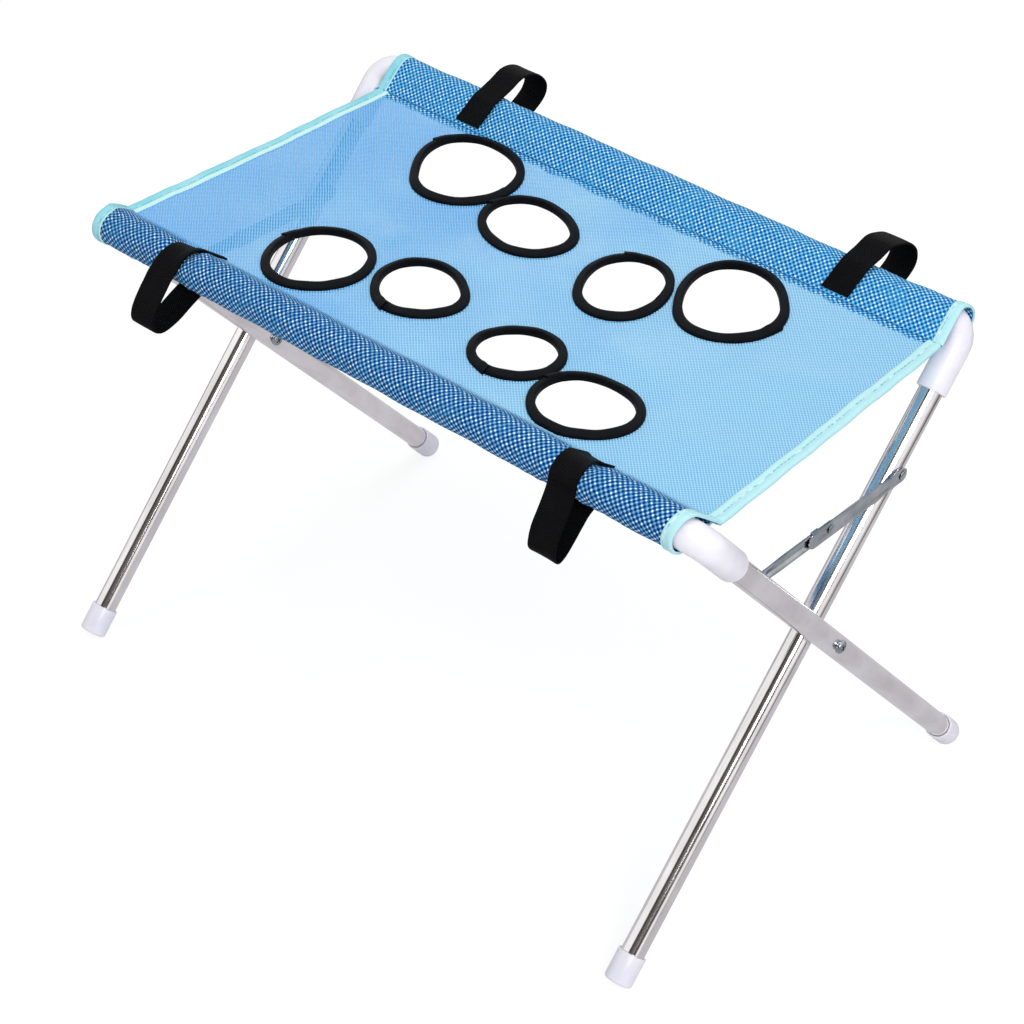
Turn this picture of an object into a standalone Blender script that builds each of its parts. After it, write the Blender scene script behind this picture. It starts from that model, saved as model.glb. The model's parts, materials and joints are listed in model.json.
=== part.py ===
"""Folding grooming table for small pets: a mesh sling with eight leg holes between two crossed tube frames.

Units are metres, +Z up, +X towards the right-hand end and -Y towards the near side. The origin is on the
floor under the middle of the table. The two frames are alike. The near frame carries the near rail and
stands on the two far feet, and the far frame is the same frame turned half round the vertical axis.
"""

import itertools
import math

import bmesh
import bpy
from mathutils import Matrix, Vector

# Frame tubes
TUBE_DIAMETER = 0.019
TUBE_WALL = 0.0012
LEG_SPAN = 0.600
LEG_GAP = 0.003
RAIL_SPACING = 0.342
RAIL_HEIGHT = 0.4185
FOOT_SPACING = 0.406

# Corner elbows
ELBOW_WALL = 0.0024
ELBOW_ARM = 0.055
BEND_RADIUS = 0.018
TUBE_SETBACK = 0.003

# Foot caps
CAP_WALL = 0.0016
CAP_LENGTH = 0.025
CAP_FLOOR = 0.005
CAP_ROUNDING = 0.002
FOOT_FLAT_DEPTH = 0.0008

# Pivot screw, nut and spacer
SCREW_DIAMETER = 0.006
SCREW_HEAD_RADIUS = 0.0055
SCREW_HEAD_HEIGHT = 0.0034
RECESS_REACH = 0.0028
RECESS_WIDTH = 0.0011
RECESS_DEPTH = 0.0016
NUT_ACROSS_FLATS = 0.010
NUT_HEIGHT = 0.0034
SPACER_RADIUS = 0.008

# Locking brace
BRACE_REACH = 0.134
LINK_THICKNESS = 0.00105
UPPER_LINK_HALF_WIDTH = 0.0075
LOWER_LINK_HALF_WIDTH = 0.0065
LINK_END_RADIUS = 0.0058
LINK_TAPER = 0.014
UPPER_LINK_OVERHANG = 0.026
LOWER_LINK_OVERHANG = 0.0065
LIP_START = 0.015
LIP_LENGTH = 0.008
LIP_THICKNESS = 0.0012
UPPER_GROOVE_DEPTH = 0.0006
LOWER_TROUGH_DEPTH = 0.0018
GROOVE_MARGIN = 0.013
GROOVE_RAMP = 0.005
RIVET_RADIUS = 0.0025
RIVET_HEAD_RADIUS = 0.004
RIVET_HEAD_HEIGHT = 0.001
RIVET_SHOULDER_RADIUS = 0.0045
RIVET_TAIL = 0.0025
CENTRE_RIVET_RADIUS = 0.0022
CENTRE_HEAD_RADIUS = 0.0037

# Mesh sleeves round the rails
SLEEVE_EASE = 0.0013
FABRIC_THICKNESS = 0.0014
SEAM_REACH = 0.030
SEAM_DROP = 0.0055
SEAM_THICKNESS = 0.003
INNER_SEAM_REACH = 0.022
SLEEVE_PAST_CORNER = 0.001
SLEEVE_SHORT_OF_CORNER = 0.0145

# Bound edges
BINDING_WIDTH = 0.0095
BINDING_THICKNESS = 0.001
BINDING_FOLD = 0.0015
SLEEVE_LIP = 0.0012
TAPE_WIDTH = 0.007
TAPE_INNER_HEIGHT = 0.0046
TAPE_OUTER_HEIGHT = 0.003
TAPE_DEPTH = 0.0019

# Webbing handles
WEBBING_WIDTH = 0.025
WEBBING_THICKNESS = 0.0018

# Clearances
GAP = 0.0003
FIT = 0.0003
LEG_RELIEF = 0.0005
CUT_MARGIN = 0.002

# Facets
TUBE_SIDES = 20
ELBOW_SIDES = 16
ELBOW_STEPS = 5
SMALL_SIDES = 12
ROUNDING_STEPS = 2
SLEEVE_STEPS = 20
HOLE_STEPS = 3
WEBBING_STEPS = 2
SHARP_ANGLE = math.radians(35)
MERGE_DISTANCE = 1e-6

# Each leg hole: the middle of its opening, then the reach of its tape's outer edge to the right and at
# every further eighth of a turn towards the far side
LEG_HOLES = {
    "far_left_outer": ((-0.146, 0.088), (0.0547, 0.0525, 0.0510, 0.0600, 0.0444, 0.0385, 0.0535, 0.0570)),
    "far_left_inner": ((-0.048, 0.060), (0.0490, 0.0375, 0.0355, 0.0460, 0.0454, 0.0385, 0.0395, 0.0480)),
    "far_right_inner": ((0.062, 0.044), (0.0393, 0.0400, 0.0485, 0.0440, 0.0344, 0.0350, 0.0497, 0.0495)),
    "far_right_outer": ((0.137, 0.083), (0.0495, 0.0420, 0.0525, 0.0600, 0.0440, 0.0420, 0.0580, 0.0550)),
    "near_left_outer": ((-0.132, -0.088), (0.0455, 0.0450, 0.0460, 0.0450, 0.0414, 0.0435, 0.0506, 0.0460)),
    "near_left_inner": ((-0.047, -0.064), (0.0465, 0.0355, 0.0365, 0.0400, 0.0400, 0.0370, 0.0435, 0.0435)),
    "near_right_inner": ((0.063, -0.080), (0.0420, 0.0395, 0.0340, 0.0300, 0.0344, 0.0355, 0.0370, 0.0385)),
    "near_right_outer": ((0.146, -0.101), (0.0475, 0.0465, 0.0400, 0.0445, 0.0430, 0.0395, 0.0390, 0.0385)),
}

# Each handle: its middle along the rail, how far it leans to the right by its sewn end below, the angle
# at which it leaves the sleeve, and its free run as places round the rail: the angle up from straight out,
# in degrees, and the distance beyond the sleeve's face
HANDLES = {
    "near_left": (-0.1995, 0.010, 5, (
        (-16, 0.0101), (-23, 0.0209), (-29, 0.0321), (-35, 0.0393), (-41, 0.0411),
        (-50, 0.0376), (-61, 0.0263), (-78, 0.0137), (-117, 0.0070), (-150, 0.0104),
    )),
    "near_right": (0.201, 0.005, 0, (
        (-22, 0.0062), (-36, 0.0177), (-42, 0.0297), (-48, 0.0393), (-52, 0.0438), (-57, 0.0450),
        (-61, 0.0402), (-65, 0.0303), (-71, 0.0189), (-83, 0.0093), (-113, 0.0053), (-142, 0.0079),
    )),
    "far_left": (-0.1905, 0.012, 95, (
        (62, 0.0084), (49, 0.0202), (38, 0.0282), (27, 0.0343), (16, 0.0381), (8, 0.0376),
        (1, 0.0331), (-6, 0.0253), (-19, 0.0147), (-49, 0.0064), (-90, 0.0046), (-132, 0.0060),
    )),
    "far_right": (0.1889, 0.015, 105, (
        (67, 0.0057), (50, 0.0160), (34, 0.0239), (22, 0.0315), (11, 0.0365), (2, 0.0371),
        (-5, 0.0343), (-12, 0.0271), (-25, 0.0160), (-50, 0.0071), (-90, 0.0046), (-132, 0.0060),
    )),
}


def tilt_and_foot_height():
    """The legs' tilt from the vertical, and the height of the middle of a cap's end above the floor."""
    rim_reach = CAP_RADIUS - CAP_ROUNDING
    foot_height = 0.0
    for _ in range(30):
        tilt = math.atan2((RAIL_SPACING + FOOT_SPACING) / 2, RAIL_HEIGHT - foot_height)
        rim_drop = rim_reach * math.sin(tilt) - CAP_ROUNDING * math.cos(tilt) + CAP_ROUNDING
        foot_height = rim_drop - FOOT_FLAT_DEPTH
    return tilt, foot_height


TUBE_RADIUS = TUBE_DIAMETER / 2
SOCKET_RADIUS = TUBE_RADIUS + FIT
ELBOW_RADIUS = SOCKET_RADIUS + ELBOW_WALL
CAP_RADIUS = SOCKET_RADIUS + CAP_WALL
PLANE_OFFSET = (TUBE_DIAMETER + LEG_GAP) / 2
TILT, FOOT_HEIGHT = tilt_and_foot_height()
PIVOT_HEIGHT = RAIL_HEIGHT - (RAIL_HEIGHT - FOOT_HEIGHT) * RAIL_SPACING / (RAIL_SPACING + FOOT_SPACING)
RAIL_ABOVE_PIVOT = RAIL_HEIGHT - PIVOT_HEIGHT
PIVOT_TO_RAIL = RAIL_SPACING / 2 / math.sin(TILT)
PIVOT_TO_FOOT = FOOT_SPACING / 2 / math.sin(TILT)
CORNER_X = {-1: -LEG_SPAN / 2 + PLANE_OFFSET, 1: LEG_SPAN / 2 + PLANE_OFFSET}
SLEEVE_X = {-1: CORNER_X[-1] - SLEEVE_PAST_CORNER, 1: CORNER_X[1] - SLEEVE_SHORT_OF_CORNER}
SLEEVE_BORE_RADIUS = ELBOW_RADIUS + SLEEVE_EASE
SLEEVE_RADIUS = SLEEVE_BORE_RADIUS + FABRIC_THICKNESS
PANEL_HEIGHT = RAIL_HEIGHT - SEAM_DROP
PANEL_HALF_DEPTH = RAIL_SPACING / 2 - SEAM_REACH - GAP
SCREW_RADIUS = SCREW_DIAMETER / 2
LINK_LENGTH = BRACE_REACH * math.sin(TILT)
BRACE_HEIGHT = BRACE_REACH * math.cos(TILT)
LINK_FACE = LEG_GAP / 2 - GAP
LINK_INNER_FACE = LINK_FACE - LINK_THICKNESS


def clear_scene():
    for obj in list(bpy.data.objects):
        bpy.data.objects.remove(obj)


def principled(name, color, roughness, metallic=0.0):
    """A material with one Principled BSDF of even colour."""
    made = bpy.data.materials.new(name)
    made.use_nodes = True
    shader = made.node_tree.nodes["Principled BSDF"]
    shader.inputs["Base Color"].default_value = (*color, 1)
    shader.inputs["Roughness"].default_value = roughness
    shader.inputs["Metallic"].default_value = metallic
    return made


def polished_tube():
    return principled("polished_tube", (0.62, 0.61, 0.62), 0.16, 1.0)


def white_plastic():
    return principled("white_plastic", (0.83, 0.82, 0.85), 0.42)


def zinc_steel():
    return principled("zinc_steel", (0.66, 0.67, 0.70), 0.3, 1.0)


def blue_panel_mesh():
    return principled("blue_panel_mesh", (0.30, 0.60, 0.88), 0.8)


def blue_sleeve_mesh():
    return principled("blue_sleeve_mesh", (0.10, 0.36, 0.66), 0.8)


def cyan_binding():
    return principled("cyan_binding", (0.42, 0.71, 0.82), 0.75)


def black_tape():
    return principled("black_tape", (0.007, 0.008, 0.011), 0.7)


def black_webbing():
    return principled("black_webbing", (0.009, 0.009, 0.011), 0.75)


def loft(rings, endless=False):
    """Skins rings of points in order. An endless skin joins its last ring to its first, any other is capped."""
    bm = bmesh.new()
    loops = [[bm.verts.new(point) for point in ring] for ring in rings]
    pairs = list(zip(loops, loops[1:]))
    if endless:
        pairs.append((loops[-1], loops[0]))
    for first, second in pairs:
        for index in range(len(first)):
            following = (index + 1) % len(first)
            bm.faces.new((first[index], first[following], second[following], second[index]))
    if not endless:
        bm.faces.new(reversed(loops[0]))
        bm.faces.new(loops[-1])
    return bm


def turned(profile, sides):
    """Revolves an outline of (radius, height) points round Z."""
    bm = bmesh.new()
    points = [bm.verts.new((radius, 0, height)) for radius, height in profile]
    edges = [bm.edges.new(pair) for pair in zip(points, points[1:])]
    around = {"cent": (0, 0, 0), "axis": (0, 0, 1), "angle": 2 * math.pi}
    bmesh.ops.spin(bm, geom=points + edges, steps=sides, use_merge=True, **around)
    bmesh.ops.remove_doubles(bm, verts=bm.verts, dist=MERGE_DISTANCE)
    return bm


def box(low, high):
    """A block from its lowest corner to its highest."""
    bm = bmesh.new()
    size = Vector(high) - Vector(low)
    middle = (Vector(high) + Vector(low)) / 2
    bmesh.ops.create_cube(bm, size=1, matrix=Matrix.Translation(middle) @ Matrix.Diagonal((*size, 1)))
    return bm


def circle(radius, sides, height=0.0):
    """A circle with a flat side, not a corner, on each axis, so that no cut meets a corner head on."""
    turns = [2 * math.pi * (index + 0.5) / sides for index in range(sides)]
    return [(radius * math.cos(turn), radius * math.sin(turn), height) for turn in turns]


def hexagon(across_flats, sides, height=0.0):
    """A hexagon with points spread evenly round it, so that it can be skinned to a circle."""
    points = []
    for index in range(sides):
        turn = 2 * math.pi * (index + 0.5) / sides
        from_flat = (turn + math.pi / 6) % (math.pi / 3) - math.pi / 6
        reach = across_flats / 2 / math.cos(from_flat)
        points.append((reach * math.cos(turn), reach * math.sin(turn), height))
    return points


def smooth_values(values, steps, closed=False):
    """Points on a smooth curve through the given vectors, with this many steps from each to the next."""
    count = len(values)
    spans = count if closed else count - 1
    found = []
    for index in range(spans):
        if closed:
            before, start, end, after = (values[(index + shift) % count] for shift in (-1, 0, 1, 2))
        else:
            start, end = values[index], values[index + 1]
            before = values[index - 1] if index else start * 2 - end
            after = values[index + 2] if index + 2 < count else end * 2 - start
        for step in range(steps):
            t = step / steps
            found.append(
                (
                    start * 2
                    + (end - before) * t
                    + (before * 2 - start * 5 + end * 4 - after) * t * t
                    + (start * 3 - before - end * 3 + after) * t * t * t
                )
                / 2
            )
    if not closed:
        found.append(values[-1])
    return found


def add_object(name, bm, material=None, parent=None, location=(0, 0, 0), rotation=(0, 0, 0)):
    """Turns a bmesh into a named object, smooth except at its sharp edges."""
    bmesh.ops.recalc_face_normals(bm, faces=bm.faces)
    mesh = bpy.data.meshes.new(name)
    bm.to_mesh(mesh)
    bm.free()
    if material:
        mesh.materials.append(material)
    mesh.shade_smooth()
    mesh.set_sharp_from_angle(angle=SHARP_ANGLE)
    obj = bpy.data.objects.new(name, mesh)
    bpy.context.collection.objects.link(obj)
    obj.location = location
    obj.rotation_euler = rotation
    obj.parent = parent
    return obj


def add_empty(name, parent=None, location=(0, 0, 0), rotation=(0, 0, 0)):
    empty = bpy.data.objects.new(name, None)
    bpy.context.collection.objects.link(empty)
    empty.location = location
    empty.rotation_euler = rotation
    empty.parent = parent
    return empty


def add_cutter(name, bm, parent=None, location=(0, 0, 0), rotation=(0, 0, 0)):
    cutter = add_object(name, bm, parent=parent, location=location, rotation=rotation)
    cutter.hide_render = True
    cutter.display_type = "WIRE"
    return cutter


def combine(obj, other, operation="DIFFERENCE"):
    """Cuts another object out of this one, or joins it to this one."""
    modifier = obj.modifiers.new(f"{operation.lower()} {other.name}", "BOOLEAN")
    modifier.operation = operation
    modifier.solver = "EXACT"
    modifier.object = other


def pipe(outer_radius, bore_radius, bottom, top, sides):
    """A straight tube along Z."""
    rings = [
        circle(outer_radius, sides, bottom),
        circle(outer_radius, sides, top),
        circle(bore_radius, sides, top),
        circle(bore_radius, sides, bottom),
    ]
    return loft(rings, endless=True)


def elbow_rings(radius, inward, sides):
    """Circles along an elbow: up the leg's arm, which lies along -Z, round the bend and along the rail's arm."""
    places = [(Vector((0, 0, -ELBOW_ARM)), 0.0)]
    for step in range(ELBOW_STEPS + 1):
        turn = math.pi / 2 * step / ELBOW_STEPS
        across = inward * BEND_RADIUS * (1 - math.cos(turn))
        places.append((Vector((across, 0, BEND_RADIUS * (math.sin(turn) - 1))), turn * inward))
    places.append((Vector((inward * ELBOW_ARM, 0, 0)), math.pi / 2 * inward))
    rings = []
    for place, turn in places:
        facing = Matrix.Translation(place) @ Matrix.Rotation(turn, 4, "Y")
        rings.append([facing @ Vector(point) for point in circle(radius, sides)])
    return rings


def elbow(inward):
    """A white corner fitting, open at both ends for the rail and the leg."""
    outside = elbow_rings(ELBOW_RADIUS, inward, ELBOW_SIDES)
    inside = elbow_rings(SOCKET_RADIUS, inward, ELBOW_SIDES)
    return loft(outside + inside[::-1], endless=True)


def rail_tube():
    length = LEG_SPAN - 2 * (BEND_RADIUS + TUBE_SETBACK)
    return pipe(TUBE_RADIUS, TUBE_RADIUS - TUBE_WALL, -length / 2, length / 2, TUBE_SIDES)


def leg_tube():
    """A leg from just inside its foot cap to just inside its elbow, with Z = 0 at the pivot."""
    bottom = CAP_FLOOR + GAP - PIVOT_TO_FOOT
    top = PIVOT_TO_RAIL - BEND_RADIUS - TUBE_SETBACK
    return pipe(TUBE_RADIUS, TUBE_RADIUS - TUBE_WALL, bottom, top, TUBE_SIDES)


def foot_cap():
    """A cup with a rounded rim below, standing on its end."""
    profile = [(0, 0)]
    for step in range(ROUNDING_STEPS + 1):
        turn = math.pi / 2 * step / ROUNDING_STEPS
        radius = CAP_RADIUS - CAP_ROUNDING * (1 - math.sin(turn))
        profile.append((radius, CAP_ROUNDING * (1 - math.cos(turn))))
    profile += [(CAP_RADIUS, CAP_LENGTH), (SOCKET_RADIUS, CAP_LENGTH)]
    profile += [(SOCKET_RADIUS, CAP_FLOOR), (0, CAP_FLOOR)]
    return turned(profile, ELBOW_SIDES)


def domed_head(radius, height, seat):
    """Outline of a low dome from its seat up to the axis."""
    rim = height * 0.4
    points = [(radius, seat), (radius, seat + rim)]
    for step in range(1, ROUNDING_STEPS + 1):
        turn = math.pi / 2 * step / ROUNDING_STEPS
        points.append((radius * math.cos(turn), seat + rim + (height - rim) * math.sin(turn)))
    points[-1] = (0, seat + height)
    return points


def pivot_screw():
    """A pan-head screw along Z: its head seats on the near frame's leg and its shank reaches through the nut."""
    seat = TUBE_RADIUS + GAP
    tail = -(3 * TUBE_RADIUS + LEG_GAP + GAP + NUT_HEIGHT)
    profile = [(0, tail), (SCREW_RADIUS, tail), (SCREW_RADIUS, seat)]
    return turned(profile + domed_head(SCREW_HEAD_RADIUS, SCREW_HEAD_HEIGHT, seat), SMALL_SIDES)


def cross_recess():
    """A plus-shaped cutter that stands RECESS_DEPTH into the top of the screw head."""
    reach, half = RECESS_REACH, RECESS_WIDTH / 2
    corner = [(reach, -half), (reach, half), (half, half)]
    outline = []
    for quarter in range(4):
        turn = Matrix.Rotation(math.pi / 2 * quarter, 2)
        outline += [turn @ Vector(point) for point in corner]
    head_top = TUBE_RADIUS + GAP + SCREW_HEAD_HEIGHT
    heights = (head_top - RECESS_DEPTH, head_top + CUT_MARGIN)
    return loft([[(point.x, point.y, height) for point in outline] for height in heights])


def lock_nut():
    rings = [
        hexagon(NUT_ACROSS_FLATS, TUBE_SIDES, 0),
        hexagon(NUT_ACROSS_FLATS, TUBE_SIDES, NUT_HEIGHT),
        circle(SCREW_RADIUS + FIT, TUBE_SIDES, NUT_HEIGHT),
        circle(SCREW_RADIUS + FIT, TUBE_SIDES, 0),
    ]
    return loft(rings, endless=True)


def spacer():
    half = LEG_GAP / 2 - GAP
    return pipe(SPACER_RADIUS, SCREW_RADIUS + FIT, -half, half, SMALL_SIDES)


def link_section(along, half_width, outer_depth, inner_depth):
    """The pressed plate's cross-section at one place: its outer face at -X, then its inner face."""
    shape = ((-1, 0), (-0.62, 0), (-0.38, 1), (0.38, 1), (0.62, 0), (1, 0))
    section = [(outer_depth * deep - LINK_FACE, along, half_width * share) for share, deep in shape]
    for share, deep in reversed(shape):
        section.append((inner_depth * deep - LINK_INNER_FACE, along, half_width * share))
    return section


def brace_link(half_width, overhang, outer_depth, inner_depth):
    """A link along Y from its end pivot at the origin, past the centre pivot, with its middle pressed."""
    round_steps = 2 * ROUNDING_STEPS
    round_turns = [math.pi / 2 * step / round_steps for step in range(1, round_steps + 1)]
    sections = []
    for turn in round_turns:
        sections.append((-LINK_END_RADIUS * math.cos(turn), LINK_END_RADIUS * math.sin(turn), 0, 0))
    groove_end = LINK_LENGTH - GROOVE_MARGIN
    sections.append((GROOVE_MARGIN, LINK_END_RADIUS, 0, 0))
    sections.append((GROOVE_MARGIN + GROOVE_RAMP, LINK_END_RADIUS, outer_depth, inner_depth))
    sections.append((GROOVE_MARGIN + GROOVE_RAMP + LINK_TAPER, half_width, outer_depth, inner_depth))
    sections.append((groove_end - GROOVE_RAMP, half_width, outer_depth, inner_depth))
    sections.append((groove_end, half_width, 0, 0))
    tip = LINK_LENGTH + overhang - half_width
    for turn in reversed(round_turns):
        sections.append((tip + half_width * math.cos(turn), half_width * math.sin(turn), 0, 0))
    return loft([link_section(*section) for section in sections])


def stop_lip():
    """The tab that is folded over the other link's top edge and keeps the brace from dropping past straight."""
    inset = LINK_THICKNESS / 8
    bottom = LOWER_LINK_HALF_WIDTH + GAP
    low = (inset - LINK_FACE, LINK_LENGTH + LIP_START, bottom)
    high = (LINK_FACE, LINK_LENGTH + LIP_START + LIP_LENGTH, bottom + LIP_THICKNESS)
    return box(low, high)


def leg_rivet():
    """A rivet along Z: its head outside the link, a shoulder beside the leg and its tail in the leg's wall."""
    seat = LEG_GAP / 2
    profile = [
        (0, -seat - RIVET_TAIL),
        (RIVET_RADIUS, -seat - RIVET_TAIL),
        (RIVET_RADIUS, -LINK_FACE),
        (RIVET_SHOULDER_RADIUS, -LINK_FACE),
        (RIVET_SHOULDER_RADIUS, -LINK_INNER_FACE),
        (RIVET_RADIUS, -LINK_INNER_FACE),
        (RIVET_RADIUS, seat),
    ]
    return turned(profile + domed_head(RIVET_HEAD_RADIUS, RIVET_HEAD_HEIGHT, seat), SMALL_SIDES)


def centre_rivet(head_radius):
    """Half of the rivet that joins the links: its head, and the shank in its own link."""
    seat = LEG_GAP / 2
    profile = [(0, LINK_INNER_FACE), (CENTRE_RIVET_RADIUS, LINK_INNER_FACE), (CENTRE_RIVET_RADIUS, seat)]
    return turned(profile + domed_head(head_radius, RIVET_HEAD_HEIGHT, seat), SMALL_SIDES)


def rod(radius, bottom, top, sides):
    return loft([circle(radius, sides, bottom), circle(radius, sides, top)])


def sleeve_outline(radius, reach, thickness):
    """A loop round the rail axis in (outward, up) places, from its seam's top, over the rail, to its bottom."""
    seam_top = Vector((-reach, thickness / 2 - SEAM_DROP))
    seam_bottom = Vector((-reach, -thickness / 2 - SEAM_DROP))
    start = math.atan2(seam_top.y, seam_top.x) - math.acos(radius / seam_top.length) + 2 * math.pi
    end = math.atan2(seam_bottom.y, seam_bottom.x) + math.acos(radius / seam_bottom.length)
    turns = [start + (end - start) * step / SLEEVE_STEPS for step in range(SLEEVE_STEPS + 1)]
    return [seam_top] + [Vector((math.cos(turn), math.sin(turn))) * radius for turn in turns] + [seam_bottom]


def outward_normals(outline):
    """The direction out of a loop that runs clockwise, at each of its points, from the edges beside it."""
    normals = []
    for index, point in enumerate(outline):
        before = outline[index - 1] if index else point
        after = outline[index + 1] if index + 1 < len(outline) else point
        along = (after - before).normalized()
        normals.append(Vector((-along.y, along.x)))
    return normals


def in_sleeve_frame(x, place):
    """(outward, up) from the rail axis becomes a point of the frame, whose outward side is -Y."""
    return (x, -place.x, place.y)


def rail_sleeve():
    """The loop of mesh round a rail, with both of its layers meeting in the seam."""
    outside = sleeve_outline(SLEEVE_RADIUS, SEAM_REACH, SEAM_THICKNESS)
    inside = sleeve_outline(SLEEVE_BORE_RADIUS, INNER_SEAM_REACH, FIT)
    rings = []
    for outline, ends in ((outside, (-1, 1)), (inside, (1, -1))):
        for end in ends:
            rings.append([in_sleeve_frame(SLEEVE_X[end], place) for place in outline])
    return loft(rings, endless=True)


def clear_of_leg(place):
    """Whether a place beside the rail axis lies outside the elbow's arm, which leads down and inwards."""
    leg = Vector((-math.sin(TILT), -math.cos(TILT)))
    return place.dot(leg) < 0 or abs(place.cross(leg)) > ELBOW_RADIUS + LEG_RELIEF


def sleeve_binding(end):
    """The cyan tape round one end of a sleeve: a band outside it and a lip over its raw edge."""
    outline = sleeve_outline(SLEEVE_RADIUS, SEAM_REACH, SEAM_THICKNESS)
    outline[0] = outline[0].lerp(outline[1], SLEEVE_LIP / SEAM_REACH)
    outline[-1] = outline[-1].lerp(outline[-2], SLEEVE_LIP / SEAM_REACH)
    if end == -1:
        outline = list(itertools.takewhile(clear_of_leg, outline))
    outer = GAP + BINDING_THICKNESS
    profile = [
        (GAP, -BINDING_WIDTH + outer),
        (outer, -BINDING_WIDTH + outer),
        (outer, outer),
        (-SLEEVE_LIP, outer),
        (-SLEEVE_LIP, GAP),
        (GAP, GAP),
    ]
    rings = []
    for place, normal in zip(outline, outward_normals(outline)):
        ring = [in_sleeve_frame(SLEEVE_X[end] + end * along, place + normal * out) for out, along in profile]
        rings.append(ring)
    return loft(rings)


def handle(centre, lean, leave_angle, free_run):
    """A loop of webbing: sewn on top of the seam, over the sleeve, out in a loop and back under the seam."""
    offset = GAP + WEBBING_THICKNESS / 2
    outline = sleeve_outline(SLEEVE_RADIUS, SEAM_REACH, SEAM_THICKNESS)
    normals = outward_normals(outline)
    on_sleeve = [place + normal * offset for place, normal in zip(outline[1:-1], normals[1:-1])]
    along_top = (outline[1] - outline[0]).normalized()
    along_bottom = (outline[-2] - outline[-1]).normalized()
    above = Vector((-along_top.y, along_top.x))
    below = Vector((along_bottom.y, -along_bottom.x))
    sewn_top = outline[0] + along_top * WEBBING_THICKNESS + above * offset
    sewn_bottom = outline[-1] + along_bottom * WEBBING_THICKNESS + below * offset
    held = [place for place in on_sleeve if math.degrees(math.atan2(place.y, place.x)) > leave_angle]
    free = []
    for degrees, beyond in free_run:
        turn = math.radians(degrees)
        free.append(Vector((math.cos(turn), math.sin(turn))) * (SLEEVE_RADIUS + beyond))
    route = smooth_values([sewn_top] + held + free + [sewn_bottom], WEBBING_STEPS)
    lengths = [0.0]
    for before, place in zip(route, route[1:]):
        lengths.append(lengths[-1] + (place - before).length)
    rings = []
    for place, normal, length in zip(route, outward_normals(route), lengths):
        x = centre + lean * length / lengths[-1]
        half = normal * WEBBING_THICKNESS / 2
        edge = WEBBING_WIDTH / 2
        corners = ((-edge, half), (edge, half), (edge, -half), (-edge, -half))
        rings.append([in_sleeve_frame(x + across, place + shift) for across, shift in corners])
    return loft(rings)


def hole_outline(hole, out):
    """A ring round a leg hole in plan, this far out from the opening's edge."""
    centre, reaches = LEG_HOLES[hole]
    corners = []
    for index, reach in enumerate(reaches):
        turn = 2 * math.pi * index / len(reaches)
        corners.append(Vector(centre) + Vector((math.cos(turn), math.sin(turn))) * reach)
    outline = smooth_values(corners, HOLE_STEPS, closed=True)
    found = []
    for index, point in enumerate(outline):
        along = (outline[(index + 1) % len(outline)] - outline[index - 1]).normalized()
        found.append(point + Vector((along.y, -along.x)) * (out - TAPE_WIDTH))
    return found


def hole_tape(hole):
    """The black tape folded over a leg hole's edge. It stands up round the opening."""
    slot = FABRIC_THICKNESS / 2 + GAP
    profile = [
        (0, -TAPE_DEPTH),
        (0, TAPE_INNER_HEIGHT),
        (TAPE_WIDTH, TAPE_OUTER_HEIGHT),
        (TAPE_WIDTH, slot),
        (BINDING_FOLD, slot),
        (BINDING_FOLD, -slot),
        (TAPE_WIDTH, -slot),
        (TAPE_WIDTH, -TAPE_DEPTH),
    ]
    skins = [[(point.x, point.y, height) for point in hole_outline(hole, out)] for out, height in profile]
    return loft(list(zip(*skins)), endless=True)


def panel_corner(end, side, inset=0.0):
    """A corner of the sling: each short edge runs from one sleeve's end to the other's."""
    reach = {-1: SLEEVE_X[end], 1: -SLEEVE_X[-end]}[side]
    return (reach - end * inset, side * PANEL_HALF_DEPTH)


def top_panel():
    """The sling between the seams, flat and a little inside its short edges' bindings."""
    inset = BINDING_FOLD + GAP
    outline = [panel_corner(end, side, inset) for end, side in ((-1, -1), (1, -1), (1, 1), (-1, 1))]
    half = FABRIC_THICKNESS / 2
    return loft([[(x, y, height) for x, y in outline] for height in (-half, half)])


def edge_binding(end):
    """The cyan tape folded over one short edge of the sling."""
    slot = FABRIC_THICKNESS / 2 + GAP
    height = slot + BINDING_THICKNESS
    profile = [
        (0, -height),
        (0, height),
        (BINDING_WIDTH, height),
        (BINDING_WIDTH, slot),
        (BINDING_FOLD, slot),
        (BINDING_FOLD, -slot),
        (BINDING_WIDTH, -slot),
        (BINDING_WIDTH, -height),
    ]
    rings = []
    for side in (-1, 1):
        corners = [(panel_corner(end, side, inset), up) for inset, up in profile]
        rings.append([(x, y, up) for (x, y), up in corners])
    return loft(rings)


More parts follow.
